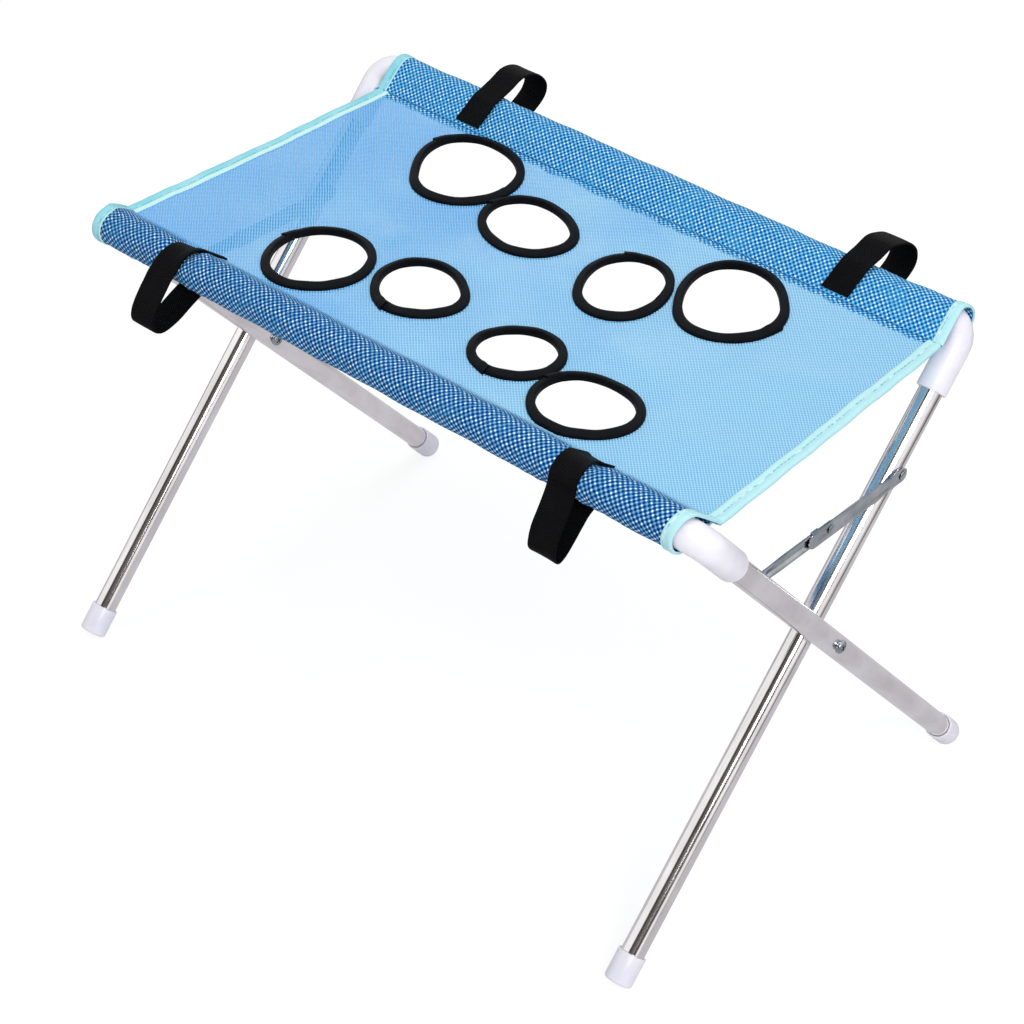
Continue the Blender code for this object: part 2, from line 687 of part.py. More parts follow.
def add_frame_metal(side, frame, ends, looks, floor):
    """One U-shaped frame: its rail, elbows, legs and foot caps."""
    rail_y = -RAIL_SPACING / 2
    along_x = (0, math.pi / 2, 0)
    add_object(
        f"{side}_rail", rail_tube(), looks["tube"], frame, (PLANE_OFFSET, rail_y, RAIL_ABOVE_PIVOT), along_x
    )
    cross_hole = rod(SCREW_RADIUS + FIT, -2 * TUBE_RADIUS, 2 * TUBE_RADIUS, SMALL_SIDES)
    cross_cutter = add_cutter(f"{side}_pivot_hole", cross_hole, frame, rotation=along_x)
    cross_cutter.scale = (1, 1, LEG_SPAN / TUBE_DIAMETER)
    for end, label in ends.items():
        leg_tilt = (TILT, 0, 0)
        corner = (CORNER_X[end], rail_y, RAIL_ABOVE_PIVOT)
        add_object(f"{side}_elbow_{label}", elbow(-end), looks["plastic"], frame, corner, leg_tilt)
        leg_at = (CORNER_X[end], 0, 0)
        leg = add_object(f"{side}_leg_{label}", leg_tube(), looks["tube"], frame, leg_at, leg_tilt)
        combine(leg, cross_cutter)
        rivet_hole = rod(RIVET_RADIUS + FIT, -TUBE_RADIUS / 2, TUBE_RADIUS / 2, SMALL_SIDES)
        rivet_place = (CORNER_X[end] - TUBE_RADIUS, -LINK_LENGTH, BRACE_HEIGHT)
        combine(leg, add_cutter(f"{side}_rivet_hole_{label}", rivet_hole, frame, rivet_place, along_x))
        foot = (CORNER_X[end], FOOT_SPACING / 2, FOOT_HEIGHT - PIVOT_HEIGHT)
        cap = add_object(f"{side}_foot_cap_{label}", foot_cap(), looks["plastic"], frame, foot, leg_tilt)
        combine(cap, floor)


def add_sleeve(side, frame, ends, looks):
    """The mesh sleeve on a frame's rail, the tape round its ends and the cuts that clear the elbows."""
    rail = (0, -RAIL_SPACING / 2, RAIL_ABOVE_PIVOT)
    sleeve = add_object(f"{side}_sleeve", rail_sleeve(), looks["sleeve"], frame, rail)
    for end, label in ends.items():
        band = sleeve_binding(end)
        binding = add_object(f"{side}_sleeve_binding_{label}", band, looks["binding"], frame, rail)
        clearance = loft(elbow_rings(ELBOW_RADIUS + LEG_RELIEF, -end, ELBOW_SIDES))
        corner = (CORNER_X[end], rail[1], rail[2])
        cutter = add_cutter(f"{side}_elbow_relief_{label}", clearance, frame, corner, (TILT, 0, 0))
        combine(sleeve, cutter)
        combine(binding, cutter)


def add_handles(side, frame, facing, looks):
    """The frame's two webbing handles. A frame that is turned half round faces the other way along X."""
    rail = (0, -RAIL_SPACING / 2, RAIL_ABOVE_PIVOT)
    for label in ("left", "right"):
        centre, lean, leave_angle, free_run = HANDLES[f"{side}_{label}"]
        loop = handle(facing * centre, facing * lean, leave_angle, free_run)
        add_object(f"{side}_handle_{label}", loop, looks["webbing"], frame, rail)


def add_brace_side(side, level, frame, ends, looks):
    """On each end of a frame, the link that is riveted to its leg and that link's half of the centre rivet."""
    half_width = {"lower": LOWER_LINK_HALF_WIDTH, "upper": UPPER_LINK_HALF_WIDTH}[level]
    overhang = {"lower": LOWER_LINK_OVERHANG, "upper": UPPER_LINK_OVERHANG}[level]
    trough = (-LOWER_TROUGH_DEPTH, -LOWER_TROUGH_DEPTH)
    pressing = {"lower": trough, "upper": (UPPER_GROOVE_DEPTH, 0)}[level]
    head_radius = {"lower": RIVET_HEAD_RADIUS, "upper": CENTRE_HEAD_RADIUS}[level]
    head_out = (0, -math.pi / 2, 0)
    holes = (("end", RIVET_RADIUS, 0), ("centre", CENTRE_RIVET_RADIUS, LINK_LENGTH))
    for end, label in ends.items():
        pivot = (end * LEG_SPAN / 2, -LINK_LENGTH, BRACE_HEIGHT)
        axis = add_empty(f"{level}_link_axis_{label}", frame, pivot)
        plate = brace_link(half_width, overhang, *pressing)
        link = add_object(f"{level}_link_{label}", plate, looks["steel"], axis)
        if level == "upper":
            combine(link, add_cutter(f"stop_lip_{label}", stop_lip(), axis), "UNION")
        for name, radius, along in holes:
            hole = rod(radius + FIT, -LEG_GAP, LEG_GAP, SMALL_SIDES)
            hole_name = f"{level}_{name}_hole_{label}"
            combine(link, add_cutter(hole_name, hole, axis, (0, along, 0), (0, math.pi / 2, 0)))
        add_object(f"{side}_leg_rivet_{label}", leg_rivet(), looks["steel"], frame, pivot, head_out)
        centre = (0, LINK_LENGTH, 0)
        half_rivet = centre_rivet(head_radius)
        add_object(f"{level}_centre_rivet_{label}", half_rivet, looks["steel"], axis, centre, head_out)


def add_pivots(near_frame, far_frame, looks):
    """The two screws on which the frames cross, their nuts, and the spacers between the legs."""
    steel = looks["steel"]
    recess_shape = cross_recess()
    for end, label in ((-1, "left"), (1, "right")):
        along_x = (0, math.pi / 2, 0)
        screw_at = (CORNER_X[end], 0, 0)
        screw = add_object(f"pivot_screw_{label}", pivot_screw(), steel, near_frame, screw_at, along_x)
        recess = add_cutter(f"cross_recess_{label}", recess_shape.copy(), near_frame, screw_at, along_x)
        combine(screw, recess)
        nut_at = (CORNER_X[end] - 2 * PLANE_OFFSET - TUBE_RADIUS - GAP - NUT_HEIGHT, 0, 0)
        add_object(f"pivot_nut_{label}", lock_nut(), steel, near_frame, nut_at, along_x)
        spacer_at = (-end * LEG_SPAN / 2, 0, 0)
        add_object(f"pivot_spacer_{label}", spacer(), steel, far_frame, spacer_at, along_x)
    recess_shape.free()


def add_sling(looks):
    """The panel between the sleeves, its bound short edges and its eight taped leg holes."""
    place = (0, 0, PANEL_HEIGHT)
    panel = add_object("top_panel", top_panel(), looks["panel"], location=place)
    for hole in LEG_HOLES:
        outline = hole_outline(hole, BINDING_FOLD + GAP)
        heights = (-CUT_MARGIN, CUT_MARGIN)
        cut = loft([[(point.x, point.y, height) for point in outline] for height in heights])
        combine(panel, add_cutter(f"{hole}_cut", cut, location=place))
        add_object(f"hole_tape_{hole}", hole_tape(hole), looks["tape"], location=place)
    for end, label in ((-1, "left"), (1, "right")):
        add_object(f"edge_binding_{label}", edge_binding(end), looks["binding"], location=place)


def main():
    clear_scene()
    looks = {
        "tube": polished_tube(),
        "plastic": white_plastic(),
        "steel": zinc_steel(),
        "panel": blue_panel_mesh(),
        "sleeve": blue_sleeve_mesh(),
        "binding": cyan_binding(),
        "tape": black_tape(),
        "webbing": black_webbing(),
    }
    floor = add_cutter("floor", box((-LEG_SPAN, -LEG_SPAN, -CAP_LENGTH), (LEG_SPAN, LEG_SPAN, 0)))
    frames = {}
    for side, facing, level in (("near", 1, "lower"), ("far", -1, "upper")):
        turn = 0 if side == "near" else math.pi
        frame = add_empty(f"{side}_frame_axis", location=(0, 0, PIVOT_HEIGHT), rotation=(0, 0, turn))
        ends = {-facing: "left", facing: "right"}
        add_frame_metal(side, frame, ends, looks, floor)
        add_sleeve(side, frame, ends, looks)
        add_handles(side, frame, facing, looks)
        add_brace_side(side, level, frame, ends, looks)
        frames[side] = frame
    add_pivots(frames["near"], frames["far"], looks)
    add_sling(looks)


main()
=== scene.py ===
# %% [markdown]
# # A folding grooming table for small pets
#
# The table is a sling of blue mesh between two crossed frames of polished tube. The animal lies on the mesh
# with its legs through eight taped holes. This lesson dresses the table's measured frame: it makes the smooth
# metal and plastic that the eye sees, then the cloth, and lights it like a catalogue picture.
#
# The frame comes first. Its solids are exact but coarse, so each is replaced by a finer piece that stands in
# the same place. The box that the solids fill is kept.

import json
import math

import bmesh
import bpy
import numpy as np
from mathutils import Matrix, Vector
from mathutils.geometry import delaunay_2d_cdt


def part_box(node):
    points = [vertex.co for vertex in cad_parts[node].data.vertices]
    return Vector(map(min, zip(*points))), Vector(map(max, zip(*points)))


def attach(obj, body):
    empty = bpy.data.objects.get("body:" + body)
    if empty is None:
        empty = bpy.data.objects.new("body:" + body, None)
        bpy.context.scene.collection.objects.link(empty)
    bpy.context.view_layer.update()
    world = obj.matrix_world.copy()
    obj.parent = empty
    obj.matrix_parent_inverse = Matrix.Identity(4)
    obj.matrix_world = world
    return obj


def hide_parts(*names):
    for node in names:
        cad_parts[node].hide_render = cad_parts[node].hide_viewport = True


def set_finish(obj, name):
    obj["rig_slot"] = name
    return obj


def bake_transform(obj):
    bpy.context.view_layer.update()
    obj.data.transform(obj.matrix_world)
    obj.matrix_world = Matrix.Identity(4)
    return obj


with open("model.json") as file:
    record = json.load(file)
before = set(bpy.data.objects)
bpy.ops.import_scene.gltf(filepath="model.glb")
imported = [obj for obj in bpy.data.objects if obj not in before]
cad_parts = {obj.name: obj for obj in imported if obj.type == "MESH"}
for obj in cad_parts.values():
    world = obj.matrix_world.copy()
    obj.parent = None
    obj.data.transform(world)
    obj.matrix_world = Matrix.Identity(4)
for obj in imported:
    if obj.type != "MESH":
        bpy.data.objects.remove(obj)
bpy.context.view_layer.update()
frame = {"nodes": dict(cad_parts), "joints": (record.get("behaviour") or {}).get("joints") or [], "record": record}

# %% [markdown]
# Every piece below needs the same few sizes. Lengths are in metres. The near frame carries the near rail and
# stands on the far feet, and the far frame is the same frame turned half round the upright axis. So a piece
# is made once in the near frame's place and turned for the far one.

# %% Sizes of the frame
TUBE_RADIUS = 0.0095
TUBE_WALL = 0.0012
SOCKET_RADIUS = 0.0098
ELBOW_RADIUS = 0.0122
ELBOW_ARM = 0.055
BEND_RADIUS = 0.018
TUBE_SETBACK = 0.003
CAP_RADIUS = 0.0114
CAP_LENGTH = 0.025
CAP_FLOOR = 0.005
CAP_ROUNDING = 0.0024
FIT_GAP = 0.0003
RAIL_Y = -0.171
RAIL_Z = 0.4185
FOOT_Y = 0.203
FOOT_Z = 0.0060325
CORNER_X = {-1: -0.289, 1: 0.311}  # the near frame's corners, left and right
LEG_SPAN = CORNER_X[1] - CORNER_X[-1]
RAIL_MIDDLE = (CORNER_X[1] + CORNER_X[-1]) / 2
SLEEVE_ENDS = {  # each frame's own ends: x at the seam, over the rail and under it
    "near": {-1: (-0.2945, -0.2805, -0.2805), 1: (0.3040, 0.2990, 0.2962)},
    "far": {-1: (-0.2885, -0.2845, -0.2860), 1: (0.2900, 0.2935, 0.2945)},
}
PIVOT = Vector(next(joint for joint in frame["joints"] if joint["name"] == "fold")["pos_m"])
TILT = math.atan2(FOOT_Y - RAIL_Y, RAIL_Z - FOOT_Z)
DOWN_LEG = Vector((0, math.sin(TILT), -math.cos(TILT)))
PIVOT_TO_RAIL = -RAIL_Y / math.sin(TILT)
PIVOT_TO_FOOT = FOOT_Y / math.sin(TILT)
SIDES = ("near", "far")
LABELS = {"near": {-1: "left", 1: "right"}, "far": {1: "left", -1: "right"}}
print("legs lean", round(math.degrees(TILT), 2), "degrees from upright")

# %% [markdown]
# Operators act on whatever is selected, and the loaded solids are still selected, so each step starts by
# choosing its own piece. Faces are picked in code, by where they are or which way they point.

# %% Helpers for choosing and finishing pieces
SMOOTH_ANGLE = math.radians(38)


def choose(piece):
    """Makes this the one piece that operators act on."""
    bpy.ops.object.select_all(action="DESELECT")
    piece.select_set(True)
    bpy.context.view_layer.objects.active = piece


def edit(piece):
    choose(piece)
    bpy.ops.object.mode_set(mode="EDIT")


def leave_edit():
    bpy.ops.object.mode_set(mode="OBJECT")


def pick(piece, test, kind="faces"):
    """In edit mode, selects only the faces, or edges, that pass the test."""
    mesh = bmesh.from_edit_mesh(piece.data)
    bpy.ops.mesh.select_mode(type={"faces": "FACE", "edges": "EDGE"}[kind])
    bpy.ops.mesh.select_all(action="DESELECT")
    for item in getattr(mesh, kind):
        item.select_set(bool(test(item)))
    bmesh.update_edit_mesh(piece.data)


def modify(piece, kind, **settings):
    """Adds a modifier and applies it."""
    choose(piece)
    modifier = piece.modifiers.new(kind.title(), kind)
    for name, value in settings.items():
        setattr(modifier, name, value)
    bpy.ops.object.modifier_apply(modifier=modifier.name)


def face_away(piece, face, axis_point):
    """Turns a piece's faces over if the given one looks towards this point of its axis."""
    if face.normal.dot(face.center - axis_point) < 0:
        piece.data.flip_normals()
        print("turned over", piece.name)


def settle(piece, name, material, slot, angle=SMOOTH_ANGLE):
    """Names a piece, bakes its place into its mesh, smooths it and gives it its finish."""
    choose(piece)
    piece.name = name
    bpy.ops.object.transform_apply(location=True, rotation=True, scale=True)
    bpy.ops.object.shade_smooth_by_angle(angle=angle)
    piece.data.materials.clear()
    piece.data.materials.append(material)
    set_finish(piece, slot)
    return piece


def turned_copy(piece, name):
    """A copy with its own mesh, turned half round the upright axis into the far frame's place."""
    twin = piece.copy()
    twin.data = piece.data.copy()
    twin.name = name
    bpy.context.collection.objects.link(twin)
    twin.data.transform(Matrix.Rotation(math.pi, 4, "Z"))
    return twin


# %% [markdown]
# Materials are built from shader nodes. Writing out every Math node hides the idea, so a small class wraps a
# socket: arithmetic on it adds the Math nodes, and one method adds any other node.

# %% A class for shader arithmetic
class Field:
    """A value that varies over a surface: one output socket of a shader node."""

    def __init__(self, socket):
        self.socket = socket
        self.tree = socket.id_data

    def math(self, operation, *others):
        return add_node(self.tree, "ShaderNodeMath", {"operation": operation}, [self, *others])

    def __add__(self, other):
        return self.math("ADD", other)

    def __sub__(self, other):
        return self.math("SUBTRACT", other)

    def __mul__(self, other):
        return self.math("MULTIPLY", other)

    def __rsub__(self, other):
        return add_node(self.tree, "ShaderNodeMath", {"operation": "SUBTRACT"}, [other, self])

    __radd__ = __add__
    __rmul__ = __mul__

    def ramp(self, low, high):
        """0 below low and 1 above high, with a smooth rise between."""
        sockets = {"Value": self, "From Min": low, "From Max": high}
        return add_node(self.tree, "ShaderNodeMapRange", {"interpolation_type": "SMOOTHSTEP"}, sockets)

    def wave(self, period):
        """A cosine of this period."""
        return (self * (2 * math.pi / period)).math("COSINE")

    def part(self, index):
        """One of the three numbers of a vector."""
        return add_node(self.tree, "ShaderNodeSeparateXYZ", {}, [self], index)


def add_node(tree, kind, settings, sockets, output=0):
    """Adds a node, sets it, gives its sockets values or links, and returns one of its outputs."""
    node = tree.nodes.new(kind)
    for name, value in settings.items():
        setattr(node, name, value)
    given = sockets.items() if isinstance(sockets, dict) else enumerate(sockets)
    for name, value in given:
        if isinstance(value, Field):
            tree.links.new(value.socket, node.inputs[name])
        else:
            node.inputs[name].default_value = value
    return Field(node.outputs[output])


def mix(tree, share, first, second):
    """Two colours mixed by a share from 0 to 1."""
    sides = [value if isinstance(value, Field) else (*value, 1) for value in (first, second)]
    sockets = {0: share, 6: sides[0], 7: sides[1]}
    return add_node(tree, "ShaderNodeMix", {"data_type": "RGBA"}, sockets, 2)


def srgb(red, green, blue):
    """A screen colour, 0 to 255, as the shader's linear numbers."""
    parts = (red, green, blue)
    return tuple(((part / 255 + 0.055) / 1.055) ** 2.4 if part > 10 else part / 3295 for part in parts)


def new_material(name):
    """A material, its node tree and its Principled shader."""
    material = bpy.data.materials.new(name)
    material.use_nodes = True
    tree = material.node_tree
    return material, tree, tree.nodes["Principled BSDF"]


def feed(tree, shader, **values):
    """Sets or links the shader's sockets, named with underscores for spaces."""
    for name, value in values.items():
        socket = shader.inputs[name.replace("_", " ").title().replace("Ior", "IOR")]
        if isinstance(value, Field):
            tree.links.new(value.socket, socket)
        else:
            socket.default_value = value


def object_place(tree):
    return add_node(tree, "ShaderNodeTexCoord", {}, {}, 3)


def cloth_place(tree):
    """The piece's own map: metres along the cloth, and metres across it."""
    return add_node(tree, "ShaderNodeUVMap", {"uv_map": "cloth"}, {})


def noise(tree, place, scale, detail=3.0, stretch=(1, 1, 1)):
    spread = add_node(tree, "ShaderNodeVectorMath", {"operation": "MULTIPLY"}, [place, stretch])
    return add_node(tree, "ShaderNodeTexNoise", {}, {"Vector": spread, "Scale": scale, "Detail": detail})


def bump(tree, height, distance, strength=1.0):
    sockets = {"Height": height, "Distance": distance, "Strength": strength}
    return add_node(tree, "ShaderNodeBump", {}, sockets)


print("shader helpers ready")

# %% [markdown]
# The tubes are thin steel with a polished plating. A mirror finish alone looks like a computer's, so fine
# lines drawn along the tube and faint smears vary how sharp the reflection is.

# %% Polished tube
def polished_tube():
    material, tree, shader = new_material("polished_tube")
    place = object_place(tree)
    smears = noise(tree, place, 22.0, 4.0)
    drawn = noise(tree, place, 900.0, 2.0, (1.0, 0.04, 0.04))
    streaks = noise(tree, place, 160.0, 3.0, (1.0, 0.12, 0.12))
    tint = mix(tree, smears.ramp(0.3, 0.75), srgb(232, 229, 230), srgb(249, 247, 248))
    tint = mix(tree, streaks.ramp(0.4, 0.75) * 0.35, tint, srgb(196, 190, 188))
    rough = 0.1 + smears.ramp(0.35, 0.8) * 0.05 + drawn * 0.05
    feed(tree, shader, base_color=tint, metallic=1.0, roughness=rough)
    feed(tree, shader, normal=bump(tree, drawn, 0.00001, 0.25))
    return material


POLISHED = polished_tube()

# %% [markdown]
# The corner fittings and foot caps are moulded in white plastic with a faint lilac cast, a little light
# passing into it, and an uneven gloss. Scuffs gather near the floor, where the caps rub.

# %% White moulded plastic
def moulded_plastic():
    material, tree, shader = new_material("white_plastic")
    place = object_place(tree)
    cloudy = noise(tree, place, 35.0, 3.0)
    skin = noise(tree, place, 1400.0, 2.0)
    near_floor = 1 - place.part(2).ramp(0.0005, 0.006)
    scuffs = noise(tree, place, 260.0, 5.0).ramp(0.5, 0.7) * near_floor
    clean = mix(tree, cloudy.ramp(0.3, 0.75), srgb(230, 227, 241), srgb(241, 239, 247))
    tint = mix(tree, scuffs * 0.35, clean, srgb(186, 184, 190))
    rough = 0.24 + cloudy * 0.12 + scuffs * 0.3
    feed(tree, shader, base_color=tint, roughness=rough, normal=bump(tree, skin, 0.00002, 0.3))
    feed(tree, shader, subsurface_weight=0.12, subsurface_scale=0.004, subsurface_radius=(1.0, 0.9, 1.0))
    return material


PLASTIC = moulded_plastic()

# %% [markdown]
# The braces, screws and rivets are zinc-plated steel: bright, slightly blue, with the mottled crystals and
# fine press marks of cheap hardware.

# %% Zinc-plated steel
def zinc_steel():
    material, tree, shader = new_material("zinc_steel")
    place = object_place(tree)
    crystals = add_node(tree, "ShaderNodeTexVoronoi", {}, {"Vector": place, "Scale": 420.0}, 0)
    clouds = noise(tree, place, 60.0, 4.0)
    marks = noise(tree, place, 700.0, 3.0, (1.0, 0.15, 0.15))
    tint = mix(tree, clouds.ramp(0.3, 0.75), srgb(156, 162, 166), srgb(190, 195, 198))
    rough = 0.14 + crystals * 0.07 + marks * 0.08
    feed(tree, shader, base_color=tint, metallic=1.0, roughness=rough, normal=bump(tree, marks, 0.00002, 0.3))
    return material


ZINC = zinc_steel()
print("hard finishes:", [material.name for material in (POLISHED, PLASTIC, ZINC)])

# %% [markdown]
# A leg is a straight tube from inside its foot cap to inside its corner fitting. A cylinder with no ends,
# given a wall by a Solidify modifier, is the plainest way to make one, and sixty-four sides keep its
# reflections smooth. The rails lie across, hidden in the cloth sleeves but for their shine through the mesh.

# %% Legs and rails
TUBE_SIDES = 64


def tube(radius, wall, length, middle, rotation):
    bpy.ops.object.select_all(action="DESELECT")
    bpy.ops.mesh.primitive_cylinder_add(
        vertices=TUBE_SIDES, radius=radius, depth=length, end_fill_type="NOTHING", location=middle,
        rotation=rotation,
    )
    piece = bpy.context.object
    modify(piece, "SOLIDIFY", thickness=wall, offset=-1)
    return piece


def both_frames(piece, kind, end):
    """Rides a near piece and its turned twin on their frames, in place of their solids."""
    twin = turned_copy(piece, "twin")
    for side, copy in zip(SIDES, (piece, twin)):
        label = LABELS[side][end] if end else ""
        node = f"{side}_{kind}_{label}" if end else f"{side}_{kind}"
        copy.name = f"{node}_piece"
        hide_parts(node)
        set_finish(copy, piece["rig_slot"])
        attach(copy, f"{side}_frame")


leg_low = CAP_FLOOR + FIT_GAP - PIVOT_TO_FOOT
leg_high = PIVOT_TO_RAIL - BEND_RADIUS - TUBE_SETBACK
for end in (-1, 1):
    middle = Vector((CORNER_X[end], 0, PIVOT.z)) - DOWN_LEG * (leg_low + leg_high) / 2
    leg = tube(TUBE_RADIUS, TUBE_WALL, leg_high - leg_low, middle, (TILT, 0, 0))
    both_frames(settle(leg, "leg", POLISHED, "polished_tube"), "leg", end)

rail_length = LEG_SPAN - 2 * (BEND_RADIUS + TUBE_SETBACK)
rail = tube(TUBE_RADIUS, TUBE_WALL, rail_length, (RAIL_MIDDLE, RAIL_Y, RAIL_Z), (0, math.pi / 2, 0))
both_frames(settle(rail, "rail", POLISHED, "polished_tube"), "rail", 0)
print("leg length", round(leg_high - leg_low, 4))

# %% [markdown]
# A corner fitting turns the tube through a right angle. It starts as a circle at the end of its leg arm, is
# drawn up the arm, spun through the bend and drawn along the rail. Solidify gives it its wall, and a bevel
# rounds its moulded rims.

# %% Corner fittings
BEND_STEPS = 14
FITTING_SIDES = 56
RIM_BEVEL = 0.0008
CAP_BEVEL = 0.0003


def draw_on(step):
    """Extrudes what is selected along a straight step."""
    bpy.ops.mesh.extrude_region_move(TRANSFORM_OT_translate={"value": step})


def corner_fitting(end):
    inward = Vector((-end, 0, 0))
    corner = Vector((CORNER_X[end], RAIL_Y, RAIL_Z))
    bpy.ops.object.select_all(action="DESELECT")
    bpy.ops.mesh.primitive_circle_add(
        vertices=FITTING_SIDES, radius=ELBOW_RADIUS, location=corner + DOWN_LEG * ELBOW_ARM,
        rotation=(TILT, 0, 0),
    )
    piece = bpy.context.object
    bpy.ops.object.transform_apply(location=True, rotation=True, scale=True)
    edit(piece)
    bpy.ops.mesh.select_mode(type="EDGE")
    bpy.ops.mesh.select_all(action="SELECT")
    draw_on(-DOWN_LEG * (ELBOW_ARM - BEND_RADIUS))
    bend_middle = corner + (DOWN_LEG + inward) * BEND_RADIUS
    bend_axis = (-DOWN_LEG).cross(inward)
    bpy.ops.mesh.spin(steps=BEND_STEPS, angle=-math.pi / 2, center=bend_middle, axis=bend_axis)
    draw_on(inward * (ELBOW_ARM - BEND_RADIUS))
    bpy.ops.mesh.select_all(action="SELECT")
    bpy.ops.mesh.remove_doubles(threshold=0.000001)
    bpy.ops.mesh.normals_make_consistent(inside=False)
    leave_edit()
    lowest = min(piece.data.polygons, key=lambda face: face.center.z)
    face_away(piece, lowest, corner + DOWN_LEG * (lowest.center - corner).dot(DOWN_LEG))
    modify(piece, "SOLIDIFY", thickness=ELBOW_RADIUS - SOCKET_RADIUS, offset=-1)
    modify(piece, "BEVEL", width=RIM_BEVEL, segments=3, limit_method="ANGLE", angle_limit=math.radians(60))
    return piece


for end in (-1, 1):
    fitting = settle(corner_fitting(end), "elbow", PLASTIC, "white_plastic")
    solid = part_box(f"near_elbow_{LABELS['near'][end]}")
    low, high = [[round(part, 4) for part in corner] for corner in solid]
    print("fitting", [round(part, 4) for part in fitting.bound_box[0]], "solid", low, high)
    both_frames(fitting, "elbow", end)

# %% [markdown]
# A foot cap is a cup that is pushed onto the leg's end. Its mouth is inset and pushed in, its lower rim is
# bevelled round, and the floor cuts it flat where it stands.

# %% Foot caps
def foot_cap(end):
    base = Vector((CORNER_X[end], FOOT_Y, FOOT_Z))
    bpy.ops.object.select_all(action="DESELECT")
    bpy.ops.mesh.primitive_cylinder_add(
        vertices=FITTING_SIDES, radius=CAP_RADIUS, depth=CAP_LENGTH,
        location=base - DOWN_LEG * CAP_LENGTH / 2, rotation=(TILT, 0, 0),
    )
    piece = bpy.context.object
    bpy.ops.object.transform_apply(location=True, rotation=True, scale=True)
    edit(piece)
    pick(piece, lambda face: face.normal.dot(DOWN_LEG) < -0.9)
    bpy.ops.mesh.inset(thickness=CAP_RADIUS - SOCKET_RADIUS)
    draw_on(DOWN_LEG * (CAP_LENGTH - CAP_FLOOR))

    def on_lower_rim(edge):
        middle = (edge.verts[0].co + edge.verts[1].co) / 2 - base
        return abs(middle.dot(DOWN_LEG)) < 0.0001 and middle.length > CAP_RADIUS * 0.9

    pick(piece, on_lower_rim, "edges")
    bpy.ops.mesh.bevel(offset=CAP_ROUNDING, segments=6, affect="EDGES")
    bpy.ops.mesh.select_all(action="SELECT")
    bpy.ops.mesh.bisect(plane_co=(0, 0, 0), plane_no=(0, 0, 1), clear_inner=True, use_fill=True)
    leave_edit()
    modify(piece, "BEVEL", width=CAP_BEVEL, segments=2, limit_method="ANGLE", angle_limit=math.radians(60))
    return piece


for end in (-1, 1):
    cap = settle(foot_cap(end), "foot_cap", PLASTIC, "white_plastic")
    print("cap stands at", round(min(vertex.co.z for vertex in cap.data.vertices), 5))
    both_frames(cap, "foot_cap", end)

# %% [markdown]
# The frames cross on two pan-head screws. The head is a cylinder with a broad bevel, its shank is drawn out
# of its back, and a cross for the driver is cut into it with two thin blocks by a Boolean.

# %% Pivot screws
HEAD_RADIUS = 0.0055
HEAD_HEIGHT = 0.0034
SHANK_RADIUS = 0.003
SHANK_LENGTH = 0.0356
CROSS_REACH = 0.0029
CROSS_WIDTH = 0.0012
CROSS_DEPTH = 0.0018
CROSS_TURN = 0.35
SCREW_SIDES = 40


def cross_cutter(top):
    blocks = []
    for turn in (CROSS_TURN, CROSS_TURN + math.pi / 2):
        bpy.ops.object.select_all(action="DESELECT")
        bpy.ops.mesh.primitive_cube_add(size=1, location=top, rotation=(turn, 0, 0))
        block = bpy.context.object
        block.scale = (2 * CROSS_DEPTH, 2 * CROSS_REACH, CROSS_WIDTH)
        bpy.ops.object.transform_apply(location=True, rotation=True, scale=True)
        blocks.append(block)
    modify(blocks[0], "BOOLEAN", object=blocks[1], operation="UNION", solver="EXACT")
    bpy.data.objects.remove(blocks[1])
    return blocks[0]


def pivot_screw(end):
    seat = Vector((CORNER_X[end] + TUBE_RADIUS + FIT_GAP, 0, PIVOT.z))
    out = Vector((1, 0, 0))
    bpy.ops.object.select_all(action="DESELECT")
    bpy.ops.mesh.primitive_cylinder_add(
        vertices=SCREW_SIDES, radius=HEAD_RADIUS, depth=HEAD_HEIGHT, location=seat + out * HEAD_HEIGHT / 2,
        rotation=(0, math.pi / 2, 0),
    )
    piece = bpy.context.object
    bpy.ops.object.transform_apply(location=True, rotation=True, scale=True)
    edit(piece)
    pick(piece, lambda edge: all(vertex.co.x > seat.x + HEAD_HEIGHT * 0.9 for vertex in edge.verts), "edges")
    bpy.ops.mesh.bevel(offset=HEAD_HEIGHT * 0.62, segments=6, affect="EDGES")
    pick(piece, lambda face: face.normal.x < -0.9)
    bpy.ops.mesh.inset(thickness=HEAD_RADIUS - SHANK_RADIUS)
    draw_on(-out * SHANK_LENGTH)
    leave_edit()
    cutter = cross_cutter(seat + out * HEAD_HEIGHT)
    modify(piece, "BOOLEAN", object=cutter, operation="DIFFERENCE", solver="EXACT")
    bpy.data.objects.remove(cutter)
    return piece


for end, label in LABELS["near"].items():
    screw = settle(pivot_screw(end), f"pivot_screw_{label}_piece", ZINC, "zinc_steel")
    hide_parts(f"pivot_screw_{label}")
    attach(screw, "near_frame")
print("screw heads", round(2000 * HEAD_RADIUS, 1), "mm across")

# %% [markdown]
# The brace links, rivets, nuts and spacers already have their full shape in the solids. A loaded solid is
# loose flat triangles, so each is copied, its corners are merged, and a small bevel softens its edges the
# way a press and a plating bath do.

# %% Links, rivets, nuts and spacers
SOFT_EDGE = {  # width of the bevel by the kind of part
    "link": 0.0002, "rivet": 0.00015, "nut": 0.0004, "spacer": 0.0002,
}


def softened_copy(node, width):
    source = frame["nodes"][node]
    piece = bpy.data.objects.new(f"{node}_piece", source.data.copy())
    bpy.context.collection.objects.link(piece)
    edit(piece)
    bpy.ops.mesh.select_all(action="SELECT")
    bpy.ops.mesh.remove_doubles(threshold=0.00001)
    leave_edit()
    modify(piece, "BEVEL", width=width, segments=2, limit_method="ANGLE", angle_limit=math.radians(40))
    return piece


